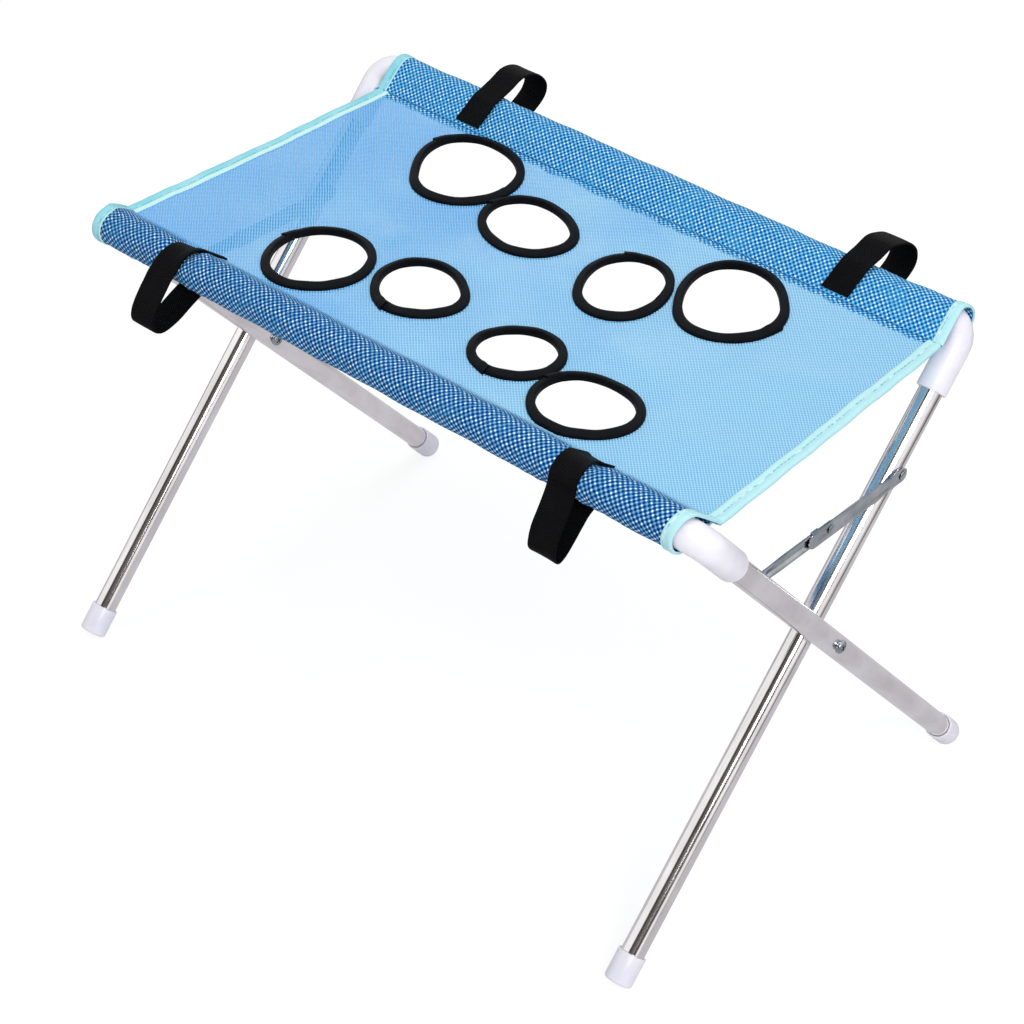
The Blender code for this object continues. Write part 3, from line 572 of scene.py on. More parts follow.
softened = []
for body, nodes in frame["record"]["behaviour"]["bodies"].items():
    for node in nodes:
        kind = next((word for word in SOFT_EDGE if f"_{word}" in node), None)
        if kind:
            softened.append(node)
            copy = softened_copy(node, SOFT_EDGE[kind])
            settle(copy, f"{node}_piece", ZINC, "zinc_steel", math.radians(32))
            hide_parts(node)
            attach(copy, body)
print("softened:", len(softened), "solids")

# %% [markdown]
# The cloth is a knitted spacer mesh: pale threads cross in a diagonal net around small open holes. On the
# sling it is one layer, so light and whatever lies behind show through the holes, and the shader makes them
# with Alpha. Round the rails it lies over itself, and its holes look into shade: there they are not cut, and
# that shade is painted deep blue, with painted highlights on the threads. Both use one pattern: the product
# of two cosines has a peak in every hole and a trough at every crossing.

# %% Knitted mesh
PANEL_PITCH = 0.0030
SLEEVE_PITCH = 0.0046
SEAM_PLACE = 0.1405


def knit(tree, pitch):
    """1 in the middle of a hole, -1 where threads cross, on a staggered grid of this pitch."""
    place = cloth_place(tree)
    wander = noise(tree, place, 90.0, 2.0) * (pitch * 0.35)
    return (place.part(0) + wander).wave(pitch) * (place.part(1) + wander * 0.6).wave(pitch)


def panel_tint(tree, weave):
    """The sling's threads, paler at their knots, and darker towards the left in random patches: painted shade,
    away from the key lamp.
    """
    place = object_place(tree)
    patchy = noise(tree, place, 9.0, 3.0)
    # Painted shade: the threads darken towards the left, away from the key lamp on the right, mixed with random
    # patches.
    shade = (place.part(0) * 1.3 + patchy).ramp(0.2, 0.75)
    threads = mix(tree, shade, srgb(80, 170, 234), srgb(134, 200, 240))
    return mix(tree, (1 - weave.ramp(-1.0, -0.2)) * 0.85, threads, srgb(212, 238, 250))


def coarse_tint(tree, weave):
    """The sleeves' open net: painted highlights as pale glints on its threads, painted shade as deep blue in its
    holes, paler on the far side.
    """
    place = cloth_place(tree)
    far = object_place(tree).part(1).ramp(-0.05, 0.05)
    glint = noise(tree, place, 240.0, 2.0)
    uneven = noise(tree, place, 26.0, 3.0)
    # Painted highlights: the threads are paler at their crossings, with pale glints in patches.
    pale = (1 - weave.ramp(-0.8, -0.15)) * (0.25 + glint.ramp(0.42, 0.6) * 0.75)
    threads = mix(tree, far, srgb(44, 134, 192), srgb(66, 172, 224))
    glints = mix(tree, pale, threads, srgb(236, 250, 252))
    # Painted shade: the sleeve's holes are not cut, so the shade inside them is painted deep blue, paler on the
    # far side.
    holes = mix(tree, far, srgb(2, 44, 118), srgb(6, 76, 158))
    net = mix(tree, weave.ramp(-0.05, 0.4), glints, holes)
    return mix(tree, uneven.ramp(0.45, 0.8) * 0.3, net, threads)


def panel_mesh():
    material, tree, shader = new_material("blue_panel_mesh")
    weave = knit(tree, PANEL_PITCH)
    hole = weave.ramp(0.35, 0.55)
    from_far = SEAM_PLACE - cloth_place(tree).part(1)
    # Near the far seam the sleeve's net, with its painted shade and painted highlights, runs onto the sling, and
    # there its holes are not cut.
    near_seam = 1 - (from_far + noise(tree, cloth_place(tree), 60.0) * 0.012).ramp(0.010, 0.013)
    tint = mix(tree, near_seam, panel_tint(tree, weave), coarse_tint(tree, knit(tree, SLEEVE_PITCH)))
    feed(tree, shader, base_color=tint, roughness=0.8, alpha=1 - hole * (1 - near_seam) * 0.85)
    feed(tree, shader, normal=bump(tree, 1 - weave, 0.0003, 0.7), specular_ior_level=0.15)
    return material


def sleeve_mesh():
    material, tree, shader = new_material("blue_sleeve_mesh")
    weave = knit(tree, SLEEVE_PITCH)
    place = cloth_place(tree)
    near = 1 - object_place(tree).part(1).ramp(-0.05, 0.05)
    from_seam = place.part(1) + (noise(tree, place, 26.0, 3.0) - 0.5) * 0.012
    fade = from_seam.ramp(near * 0.009 - 0.006, near * 0.025 - 0.002)
    tint = mix(tree, fade, panel_tint(tree, knit(tree, PANEL_PITCH)), coarse_tint(tree, weave))
    feed(tree, shader, base_color=tint, roughness=0.8, specular_ior_level=0.15)
    feed(tree, shader, normal=bump(tree, 1 - weave, 0.0006, 0.8))
    return material


PANEL_MESH = panel_mesh()
SLEEVE_MESH = sleeve_mesh()
print("knit pitch", PANEL_PITCH, SLEEVE_PITCH)

# %% [markdown]
# The raw edges are bound with cyan tape, folded over and sewn down. Across the tape the shader keeps a pale
# inner strip, a groove with a row of teal and white stitches, and the plain fold. The tape at the right is
# painted paler all over, as painted light from the key lamp on that side. The leg holes are bound with black
# tape and the handles are ribbed black webbing.

# %% Bindings, tape and webbing
STITCH_PITCH = 0.0046


def cyan_binding():
    material, tree, shader = new_material("cyan_binding")
    place = cloth_place(tree)
    along, across = place.part(0), place.part(1)
    # Painted light: the tape at the right is painted paler all over, and its pale inner strip fainter, as the key
    # lamp stands on that side.
    painted_light_right = object_place(tree).part(0).ramp(-0.1, 0.1)
    patchy = noise(tree, place, 120.0, 4.0)
    slow = noise(tree, place, 25.0, 2.0)
    body = mix(tree, slow.ramp(0.3, 0.7), srgb(134, 208, 222), srgb(162, 220, 230))
    body = mix(tree, painted_light_right * 0.85, body, srgb(188, 232, 238))
    pale = across.ramp(0.0082, 0.0090) * (1 - painted_light_right * 0.6)
    two_tone = mix(tree, pale * 0.85, body, srgb(206, 240, 234))
    line = across - (0.0061 + slow * 0.001)
    on_line = 1 - line.math("ABSOLUTE").ramp(0.0002, 0.0007)
    dash = (along + patchy * 0.004).wave(STITCH_PITCH).ramp(-0.1, 0.3)
    sewn = on_line * (0.3 + dash * 0.6 * patchy.ramp(0.35, 0.5))
    stitch = mix(tree, patchy.ramp(0.45, 0.6), srgb(58, 150, 170), srgb(226, 244, 244))
    tint = mix(tree, sewn, two_tone, stitch)
    weave = along.wave(0.0007) * 0.15
    feed(tree, shader, base_color=tint, roughness=0.75, normal=bump(tree, weave - on_line, 0.0003, 0.6))
    feed(tree, shader, specular_ior_level=0.2)
    return material


def black_tape():
    material, tree, shader = new_material("black_tape")
    place = cloth_place(tree)
    along, across = place.part(0), place.part(1)
    twill = (along + across).wave(0.0009)
    soft = noise(tree, place, 160.0, 3.0)
    tint = mix(tree, soft.ramp(0.35, 0.8), srgb(6, 7, 11), srgb(11, 13, 19))
    rough = 0.42 + soft * 0.15
    feed(tree, shader, base_color=tint, roughness=rough, normal=bump(tree, twill * 0.4 + soft, 0.00025, 0.5))
    feed(tree, shader, specular_ior_level=0.06)
    return material


def black_webbing():
    material, tree, shader = new_material("black_webbing")
    place = cloth_place(tree)
    along, across = place.part(0), place.part(1)
    ribs = along.wave(0.0017)
    cords = across.wave(0.0011)
    worn = noise(tree, place, 70.0, 4.0)
    tint = mix(tree, worn.ramp(0.4, 0.85) + ribs * 0.12, srgb(7, 7, 9), srgb(13, 14, 17))
    feed(tree, shader, base_color=tint, roughness=0.5 + worn * 0.15)
    feed(tree, shader, normal=bump(tree, ribs + cords * 0.35, 0.0004, 0.8), specular_ior_level=0.06)
    return material


BINDING = cyan_binding()
TAPE = black_tape()
WEBBING = black_webbing()
print("cloth finishes:", [material.name for material in (PANEL_MESH, SLEEVE_MESH, BINDING, TAPE, WEBBING)])

# %% [markdown]
# Cloth follows curves that no primitive has, so it is skinned from rings of points in code. Each skin gets a
# map in metres, along and across the cloth, for its weave and stitches to follow.

# %% Skinning cloth from rings of points
def lengths_along(points, closed=False):
    """Running length at each point of a line, and back at the start if it is closed."""
    points = np.asarray(points, float)
    if closed:
        points = np.vstack([points, points[:1]])
    steps = np.linalg.norm(np.diff(points, axis=0), axis=1)
    return np.concatenate([[0], np.cumsum(steps)])


def mesh_piece(name, points, faces, corners):
    """A mesh object with a map called cloth: corners holds each face's map places."""
    mesh = bpy.data.meshes.new(name)
    mesh.from_pydata([tuple(point) for point in points], [], faces)
    layer = mesh.uv_layers.new(name="cloth")
    layer.data.foreach_set("uv", np.array([place for face in corners for place in face], np.float32).ravel())
    piece = bpy.data.objects.new(name, mesh)
    bpy.context.collection.objects.link(piece)
    return piece


def skin(name, rings, along, across, ring_closed=True, path_closed=False):
    """Joins rings of equal size with quads. An open run of closed rings is capped."""
    rings = np.asarray(rings, float)
    count, size = rings.shape[:2]
    faces, corners = [], []
    for i in range(count if path_closed else count - 1):
        k = (i + 1) % count
        for j in range(size if ring_closed else size - 1):
            m = (j + 1) % size
            faces.append((i * size + j, i * size + m, k * size + m, k * size + j))
            round_face = ((i, j), (i, j + 1), (i + 1, j + 1), (i + 1, j))
            corners.append([(along[a], across[b]) for a, b in round_face])
    if ring_closed and not path_closed:
        for i, order in ((0, range(size)), (count - 1, range(size - 1, -1, -1))):
            faces.append(tuple(i * size + j for j in order))
            corners.append([(along[i], across[j]) for j in order])
    return mesh_piece(name, rings.reshape(-1, 3), faces, corners)


def turn_outwards(piece):
    edit(piece)
    bpy.ops.mesh.select_all(action="SELECT")
    bpy.ops.mesh.normals_make_consistent(inside=False)
    leave_edit()


def smooth_curve(values, steps, closed=False):
    """Points on a smooth curve through the given ones, with this many steps from each to the next."""
    values = np.asarray(values, float)
    count = len(values)
    found = []
    for index in range(count if closed else count - 1):
        if closed:
            before, start, end, after = (values[(index + shift) % count] for shift in (-1, 0, 1, 2))
        else:
            start, end = values[index], values[index + 1]
            before = values[index - 1] if index else 2 * start - end
            after = values[index + 2] if index + 2 < count else 2 * end - start
        for t in np.arange(steps) / steps:
            cubic = 3 * start - before - 3 * end + after
            square = 2 * before - 5 * start + 4 * end - after
            found.append((2 * start + (end - before) * t + square * t**2 + cubic * t**3) / 2)
    if not closed:
        found.append(values[-1])
    return np.array(found)


def side_normals(points, closed=False):
    """Left-hand normals of a flat line, averaged at its points."""
    points = np.asarray(points, float)
    if closed:
        along = np.roll(points, -1, 0) - np.roll(points, 1, 0)
    else:
        along = np.gradient(points, axis=0)
    along /= np.linalg.norm(along, axis=1)[:, None]
    return np.stack([-along[:, 1], along[:, 0]], 1)


print("skin helpers ready")

# %% [markdown]
# A sleeve is a loop of the mesh round a rail, closed by a seam on the side of the sling. Its outline is a
# circle with two tangents that meet in the seam. The handles are sewn round it and pull it in: under each
# strap it is pressed towards the rail, and beside the strap it wrinkles.

# %% Shape of the sleeves
SLEEVE_RADIUS = 0.0149
SLEEVE_CLOTH = 0.0008
SEAM_REACH = 0.030
SEAM_DROP = 0.0055
SEAM_THICKNESS = 0.003
STRAP_HALF = 0.0125
# A handle: its middle along the rail, its lean, the angle at which it leaves the sleeve, how far it presses
# the sleeve in, and its free run, where a place is an angle up from straight out and a distance beyond the
# sleeve.
HANDLES = {
    "near_left": (-0.1995, 0.010, 28, 0.0030, (
        (3, 0.0048), (-14, 0.0125), (-23, 0.0222), (-30, 0.0331), (-36, 0.0398), (-42, 0.0413),
        (-50, 0.0376), (-61, 0.0263), (-78, 0.0137), (-117, 0.0070), (-150, 0.0104),
    )),
    "near_right": (0.201, 0.005, 0, 0.0030, (
        (-22, 0.0062), (-36, 0.0177), (-42, 0.0297), (-48, 0.0393), (-52, 0.0438), (-57, 0.0450),
        (-61, 0.0402), (-65, 0.0303), (-71, 0.0189), (-83, 0.0093), (-113, 0.0053), (-142, 0.0079),
    )),
    "far_left": (-0.1905, 0.012, 95, 0.0014, (
        (62, 0.0084), (49, 0.0202), (38, 0.0282), (27, 0.0343), (16, 0.0381), (8, 0.0376),
        (1, 0.0331), (-6, 0.0253), (-19, 0.0147), (-49, 0.0064), (-90, 0.0046), (-132, 0.0060),
    )),
    "far_right": (0.1889, 0.015, 105, 0.0014, (
        (67, 0.0057), (50, 0.0160), (34, 0.0239), (22, 0.0315), (11, 0.0365), (2, 0.0371),
        (-5, 0.0343), (-12, 0.0271), (-25, 0.0160), (-50, 0.0071), (-90, 0.0046), (-132, 0.0060),
    )),
}


def sleeve_outline(radius, reach, thickness, steps):
    """Places round the rail axis, (outward, up), from the seam's top over the rail to the seam's bottom."""
    top, bottom = (-reach, thickness / 2 - SEAM_DROP), (-reach, -thickness / 2 - SEAM_DROP)
    start = math.atan2(top[1], top[0]) - math.acos(radius / math.hypot(*top)) + 2 * math.pi
    end = math.atan2(bottom[1], bottom[0]) + math.acos(radius / math.hypot(*bottom))
    turns = np.linspace(start, end, steps + 1)
    round_part = np.stack([np.cos(turns), np.sin(turns)], 1) * radius
    ramp = np.linspace(0, 1, 9)[:-1, None]
    upper = np.array(top) * (1 - ramp) + round_part[0] * ramp
    lower = np.array(bottom) * (1 - ramp) + round_part[-1] * ramp
    return np.vstack([upper, round_part, lower[::-1]])


def strap_press(side, x, places):
    """How far the straps of one frame press the sleeve in, at each place round the rail."""
    turn = np.degrees(np.arctan2(places[:, 1], places[:, 0])) % 360
    facing = 1 if side == "near" else -1
    pressed = np.zeros(len(places))
    for name, (centre, _, leave, depth, _) in HANDLES.items():
        if name.startswith(side):
            away = abs(x - facing * centre) - STRAP_HALF
            under = 1 / (1 + math.exp(away / 0.0016))
            held = 1 / (1 + np.exp(-(turn - max(leave, 40)) / 9)) / (1 + np.exp((turn - 215) / 8))
            pressed += depth * under * held
    return pressed


def sleeve_wrinkles(side, x, places):
    """Small folds of the cloth, strongest beside the straps."""
    turn = np.arctan2(places[:, 1], places[:, 0])
    facing = 1 if side == "near" else -1
    found = 0.00025 * np.sin(x * 61 + 2.1 * turn) + 0.0002 * np.sin(x * 143 - 1.3 * turn + 1)
    for name, (centre, _, _, depth, _) in HANDLES.items():
        if name.startswith(side):
            away = abs(x - facing * centre) - STRAP_HALF
            if away > 0:
                found += depth * 0.22 * math.exp(-away / 0.018) * np.cos(away * 520 + 1.6 * turn)
    return found


def slack(side, x, places):
    """How far a sleeve's top sinks towards its rail: the near one at its left end, the far one all along."""
    turn = np.arctan2(places[:, 1], places[:, 0])
    over_rail = np.clip(np.sin(turn), 0, 1) ** 1.5
    if side == "near":
        return 0.0014 / (1 + math.exp((x + 0.255) / 0.006)) * over_rail
    free = 1 / (1 + math.exp((abs(x) - 0.245) / 0.006))
    depth = (0.0006 + 0.0030 / (1 + math.exp((x + 0.02) / 0.06))) * free + 0.0011 * (1 - free)
    return depth * over_rail


def end_at(side, end, share):
    """Where the sleeve ends, at this share of its outline from the seam's top to the seam's bottom."""
    seam, over, under = SLEEVE_ENDS[side][end]
    return np.interp(share, (0, 0.33, 0.5, 1), (seam, over, under, under))


def to_row(side, x, places):
    """(outward, up) places of a frame at this x, or at one x each, in the whole table's place."""
    facing = 1 if side == "near" else -1
    out, up = places[:, 0], places[:, 1]
    return np.stack([facing * (x + 0 * out), facing * (RAIL_Y - out), RAIL_Z + up], 1)


OUTLINE = sleeve_outline(SLEEVE_RADIUS, SEAM_REACH, SEAM_THICKNESS, 44)
OUTLINE_LENGTHS = lengths_along(OUTLINE)
print("cloth round a rail", round(OUTLINE_LENGTHS[-1], 4))

# %% [markdown]
# The sleeve is skinned at a station every few millimetres, then given its cloth's thickness. At one end the
# corner fitting's arm comes out underneath, so a cylinder round that arm is cut away, as the sewn cloth is
# open there.

# %% Sleeves
STATION = 0.003
FIRST_STATION, LAST_STATION = -0.290, 0.296
END_EASE = 0.020
RELIEF_LENGTH = 0.070
RELIEF_MIDDLE = 0.037
RELIEF_RADIUS = ELBOW_RADIUS + 0.0006


def arm_relief(end):
    """A cylinder round a corner fitting's leg arm."""
    corner = Vector((CORNER_X[end], RAIL_Y, RAIL_Z))
    bpy.ops.object.select_all(action="DESELECT")
    bpy.ops.mesh.primitive_cylinder_add(
        vertices=48, radius=RELIEF_RADIUS, depth=RELIEF_LENGTH, location=corner + DOWN_LEG * RELIEF_MIDDLE,
        rotation=(TILT, 0, 0),
    )
    return bpy.context.object


def rail_sleeve(side):
    share = OUTLINE_LENGTHS / OUTLINE_LENGTHS[-1]
    first, last = end_at(side, -1, share), end_at(side, 1, share)
    span = LAST_STATION - FIRST_STATION
    stations = np.linspace(FIRST_STATION, LAST_STATION, round(span / STATION) + 1)
    normals = side_normals(OUTLINE)
    edge = np.minimum(1, np.minimum(OUTLINE_LENGTHS, OUTLINE_LENGTHS[-1] - OUTLINE_LENGTHS) / 0.008)
    rings = []
    for x in stations:
        near_end = min(1, min(x - FIRST_STATION, LAST_STATION - x) / END_EASE)
        shift = sleeve_wrinkles(side, x, OUTLINE) * near_end
        shift = shift - strap_press(side, x, OUTLINE) - slack(side, x, OUTLINE)
        places = OUTLINE + normals * (shift * edge)[:, None]
        along = first + (last - first) * (x - FIRST_STATION) / span
        rings.append(to_row(side, along, places))
    return skin(f"{side}_sleeve_piece", rings, stations, OUTLINE_LENGTHS, ring_closed=False)


for side in SIDES:
    piece = rail_sleeve(side)
    mesh = piece.data
    middle = Vector((0, (RAIL_Y if side == "near" else -RAIL_Y), RAIL_Z))
    face = mesh.polygons[len(mesh.polygons) // 2]
    face_away(piece, face, Vector((face.center.x, middle.y, middle.z)))
    modify(piece, "SOLIDIFY", thickness=SLEEVE_CLOTH, offset=-1)
    cutter = arm_relief(-1)
    if side == "far":
        cutter.matrix_world = Matrix.Rotation(math.pi, 4, "Z") @ cutter.matrix_world
    modify(piece, "BOOLEAN", object=cutter, operation="DIFFERENCE", solver="EXACT")
    bpy.data.objects.remove(cutter)
    settle(piece, f"{side}_sleeve_piece", SLEEVE_MESH, "blue_sleeve_mesh")
    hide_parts(f"{side}_sleeve")
    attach(piece, f"{side}_frame")
    print(piece.name, len(piece.data.polygons), "faces")

# %% [markdown]
# The sling hangs between the seams. It is nearly flat, sags a little in the middle, and has soft folds where
# the tapes and straps pull at it. One height function gives its surface, so the tapes lie on it exactly.

# %% Height of the sling
PANEL_Z = 0.413
PANEL_HALF_DEPTH = 0.1407
PANEL_CLOTH = 0.0010
SAG = 0.0012
FOLDS = (  # where each soft fold starts and ends in plan, its rise and its width
    ((-0.285, 0.118), (-0.200, 0.020), 0.0016, 0.012),
    ((-0.240, -0.020), (-0.185, -0.085), 0.0012, 0.010),
    ((-0.075, 0.020), (-0.020, -0.030), 0.0014, 0.014),
    ((0.015, 0.090), (0.020, 0.020), 0.0010, 0.012),
    ((0.185, -0.040), (0.275, -0.115), 0.0014, 0.012),
    ((0.195, 0.020), (0.285, 0.060), 0.0012, 0.016),
    ((0.095, -0.020), (0.170, -0.035), 0.0010, 0.012),
    ((-0.120, -0.005), (-0.110, -0.045), 0.0010, 0.010),
)


def sling_height(x, y):
    """Height of the middle of the sling's cloth."""
    across = np.clip(1 - (y / PANEL_HALF_DEPTH) ** 2, 0, 1)
    height = -SAG * across * (1 - 0.3 * (x / 0.3) ** 2)
    height = height + across * (0.00035 * np.sin(x * 47 + y * 31) + 0.0003 * np.sin(x * 29 - y * 57 + 2))
    for start, end, rise, width in FOLDS:
        start, way = np.array(start), np.array(end) - np.array(start)
        share = np.clip(((x - start[0]) * way[0] + (y - start[1]) * way[1]) / (way @ way), 0, 1)
        away = np.hypot(x - start[0] - share * way[0], y - start[1] - share * way[1])
        ends = np.sin(np.pi * np.clip(share, 0.03, 0.97))
        height = height + across**0.5 * rise * ends * np.exp(-((away / width) ** 2))
    return PANEL_Z + height


print("middle of the sling", round(float(sling_height(0.0, 0.0)), 4))

# %% [markdown]
# The leg holes are unequal ovals, as if cut and bound by hand. The frame already has a solid for each tape,
# so each hole is measured there: rays from its middle cross the solid's edges in plan, first at the opening
# and last at the tape's outer edge. Averaging each reach with its neighbours a few times, and a smooth curve
# through the points, round off the coarse solid's corners. The tape spreads a little more on the near side.

# %% Leg holes
TAPE_WIDTH = 0.007
HOLE_RAYS = 24
RAY_OFFSET = 0.13  # a share of a step, which keeps the rays off the solids' corners
ROUNDINGS = 3
NEAR_SPREAD = 0.0020
SPREAD_WAY = math.radians(-50)
SEAM_LIMIT = 0.1402
TAPE_STARTS = {  # where each tape was begun, in degrees from +X
    "far_left_outer": 138, "far_left_inner": 153, "far_right_inner": 108, "far_right_outer": -22,
    "near_left_outer": 154, "near_left_inner": 247, "near_right_inner": 250, "near_right_outer": 150,
}


def edges_in_plan(node):
    """The starts and ends of a solid's edges, seen from above."""
    solid = frame["nodes"][node]
    corners = np.array([tuple(solid.matrix_world @ vertex.co)[:2] for vertex in solid.data.vertices])
    ends = np.array([tuple(edge.vertices) for edge in solid.data.edges])
    return corners[ends[:, 0]], corners[ends[:, 1]]


def crossings(starts, ends, middle, turn):
    """The nearest and the farthest crossing of the edges with a ray from the middle."""
    way = np.array([math.cos(turn), math.sin(turn)])
    side = np.array([-way[1], way[0]])
    before, after = (starts - middle) @ side, (ends - middle) @ side
    crossed = before * after < 0
    share = (before / (before - after + (before == after)))[crossed]
    reaches = ((starts[crossed] + (ends - starts)[crossed] * share[:, None]) - middle) @ way
    return reaches[reaches > 0].min(), reaches.max()


def rounded(reaches):
    """Reaches round a ring, each averaged with its neighbours a few times."""
    for _ in range(ROUNDINGS):
        reaches = (np.roll(reaches, 1) + 2 * reaches + np.roll(reaches, -1)) / 4
    return reaches


def measured_hole(hole):
    """The middle of a leg hole, and its reaches: to the opening and to the tape's outer edge."""
    starts, ends = edges_in_plan(f"hole_tape_{hole}")
    middle = (starts.min(0) + starts.max(0)) / 2
    turns = (np.arange(HOLE_RAYS) + RAY_OFFSET) * 2 * math.pi / HOLE_RAYS
    opening, outer = np.array([crossings(starts, ends, middle, turn) for turn in turns]).T
    spread = NEAR_SPREAD * np.clip(np.cos(turns - SPREAD_WAY), 0, 1)
    return middle, turns, rounded(opening), rounded(outer) + spread


LEG_HOLES = {hole: measured_hole(hole) for hole in TAPE_STARTS}


def hole_ring(hole, share, steps=4):
    """A ring round a leg hole in plan: at its edge for share 0, at its tape's outer edge for share 1."""
    middle, turns, opening, outer = LEG_HOLES[hole]
    reaches = opening + (outer - opening) * share
    corners = middle + np.stack([np.cos(turns), np.sin(turns)], 1) * reaches[:, None]
    ring = smooth_curve(corners, steps, closed=True)
    ring[:, 1] = np.clip(ring[:, 1], -SEAM_LIMIT, SEAM_LIMIT)
    return ring


def gap_between_tapes():
    """The smallest distance in plan between two tapes."""
    rings = [hole_ring(hole, 1.0) for hole in LEG_HOLES]
    pairs = [(one, two) for index, one in enumerate(rings) for two in rings[:index]]
    return min(np.linalg.norm(one[:, None] - two[None], axis=2).min() for one, two in pairs)


def area_of(outline):
    x, y = outline[:, 0], outline[:, 1]
    return abs(np.sum(x * np.roll(y, -1) - y * np.roll(x, -1))) / 2


print("holes:", {hole: round(area_of(hole_ring(hole, 0.0)) * 1e4, 1) for hole in LEG_HOLES}, "cm2")
print("tapes are at least", round(1000 * gap_between_tapes(), 2), "mm apart")

# %% [markdown]
# The sling's cloth is cut from a flat triangulation: its outline, the holes and an even field of points
# between them, lifted onto the height function. Triangles that fall in a hole are left out.

# %% Sling
GRID = 0.005
EDGE_FOLD = 0.0018
TUCK = 0.0025
FIELD_REACH = (0.305, 0.143)
ROW_SHARE = 0.866
CLEARANCE = 0.55


def panel_corner(end, side, inset=0.0, beyond=0.0):
    """A corner of the sling: end -1 is the left, side -1 is the near seam."""
    reach = SLEEVE_ENDS["near"][end][0] if side == -1 else -SLEEVE_ENDS["far"][-end][0]
    return np.array([reach - end * inset, side * (PANEL_HALF_DEPTH + beyond)])


def inside(points, outline):
    """Which points lie within a closed outline."""
    found = np.zeros(len(points), bool)
    for start, end in zip(outline, np.roll(outline, -1, 0)):
        spans = (start[1] > points[:, 1]) != (end[1] > points[:, 1])
        rise = end[1] - start[1]
        crossing = start[0] + (points[:, 1] - start[1]) / (rise if rise else 1) * (end[0] - start[0])
        found ^= spans & (points[:, 0] < crossing)
    return found


def distance_to(points, outline):
    found = np.full(len(points), 1e9)
    for start, end in zip(outline, np.roll(outline, -1, 0)):
        way = end - start
        share = np.clip(((points - start) @ way) / (way @ way), 0, 1)
        found = np.minimum(found, np.linalg.norm(points - start - share[:, None] * way, axis=1))
    return found


def densified(corners, step):
    points = []
    for start, end in zip(corners, np.roll(corners, -1, 0)):
        count = max(1, round(np.linalg.norm(end - start) / step))
        points += [start + (end - start) * index / count for index in range(count)]
    return np.array(points)


def sling_cloth():
    order = ((-1, -1), (1, -1), (1, 1), (-1, 1))
    corners = np.array([panel_corner(end, side, EDGE_FOLD, TUCK) for end, side in order])
    rim = densified(corners, GRID)
    holes = [hole_ring(hole, EDGE_FOLD / TAPE_WIDTH, 2) for hole in LEG_HOLES]
    reach_x, reach_y = FIELD_REACH
    xs = np.arange(-reach_x, reach_x + GRID, GRID)
    ys = np.arange(-reach_y, reach_y, GRID * ROW_SHARE)
    field = np.array([(x + GRID / 2 * (row % 2), y) for row, y in enumerate(ys) for x in xs])
    keep = inside(field, rim) & (distance_to(field, rim) > GRID * CLEARANCE)
    for hole in holes:
        keep &= ~inside(field, hole) & (distance_to(field, hole) > GRID * CLEARANCE)
    points, edges = [], []
    for ring in [rim] + holes:
        first = len(points)
        points += [Vector(point) for point in ring]
        edges += [(first + i, first + (i + 1) % len(ring)) for i in range(len(ring))]
    points += [Vector(point) for point in field[keep]]
    places, _, triangles, _, _, _ = delaunay_2d_cdt(points, edges, [], 0, 1e-7)
    flat = np.array([tuple(place) for place in places])
    middles = np.array([flat[list(triangle)].mean(0) for triangle in triangles])
    solid = inside(middles, rim)
    for hole in holes:
        solid &= ~inside(middles, hole)
    faces = [tuple(triangle) for triangle, kept in zip(triangles, solid) if kept]
    corners = [[tuple(flat[index]) for index in face] for face in faces]
    heights = sling_height(flat[:, 0], flat[:, 1])
    piece = mesh_piece("sling_piece", np.column_stack([flat, heights]), faces, corners)
    return piece, area_of(rim) - sum(area_of(hole) for hole in holes)


SLING, SLING_AREA = sling_cloth()
if SLING.data.polygons[0].normal.z < 0:
    SLING.data.flip_normals()
modify(SLING, "SOLIDIFY", thickness=PANEL_CLOTH, offset=0)
settle(SLING, "sling_piece", PANEL_MESH, "blue_panel_mesh")
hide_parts("top_panel")
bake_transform(SLING)
print("sling", len(SLING.data.polygons), "faces", round(SLING_AREA, 4), "m2")

# %% [markdown]
# The black tape is folded over each hole's edge and stands up as a soft rim. It is swept once round the hole
# and a little further, so that its end lies over its start with one cut corner sticking out, as it was sewn.

# %% Tapes round the leg holes
TAPE_PROFILE = np.array((  # out from the hole's edge and up from the cloth, in mm
    (0.0, -1.2), (-0.05, 1.0), (0.0, 3.0), (0.35, 4.0), (1.1, 4.6), (2.4, 4.5), (4.2, 3.95), (5.8, 3.35),
    (6.7, 2.7), (7.0, 1.6), (6.95, 0.6), (7.1, -0.6), (6.7, -1.5), (5.6, -1.9), (3.4, -1.95), (1.0, -1.9),
)) / 1000
TAPE_OVERLAP = 0.055


def hole_tape(hole):
    edge, rim = hole_ring(hole, 0.0), hole_ring(hole, 1.0)
    count = len(edge)
    start = round(TAPE_STARTS[hole] / 360 * count)
    extra = round(TAPE_OVERLAP * count)
    order = [(start + step) % count for step in range(count + extra + 1)]
    across = lengths_along(TAPE_PROFILE, closed=True)
    rings, path = [], []
    for step, index in enumerate(order):
        past = max(0.0, (step - count) / extra)
        before = max(0.0, 1 - step / extra)
        wobble = 1 + 0.05 * math.sin(index * 0.61 + start) + 0.05 * math.sin(index * 0.23 + 2 * start)
        share = TAPE_PROFILE[:, 0] / TAPE_WIDTH * (1 - 0.05 * before) + 0.22 * past**2
        up = TAPE_PROFILE[:, 1] * wobble * (1 - 0.12 * before) + 0.0009 * min(1.0, past * 3)
        places = edge[index] + (rim[index] - edge[index]) * share[:, None]
        base = sling_height(*(edge[index] + rim[index]) / 2)
        rings.append(np.column_stack([places, base + up]))
        path.append(rim[index])
    piece = skin(f"hole_tape_{hole}_piece", rings, lengths_along(path), across)
    turn_outwards(piece)
    settle(piece, f"hole_tape_{hole}_piece", TAPE, "black_tape", math.radians(55))
    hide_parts(f"hole_tape_{hole}")
    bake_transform(piece)
    return piece


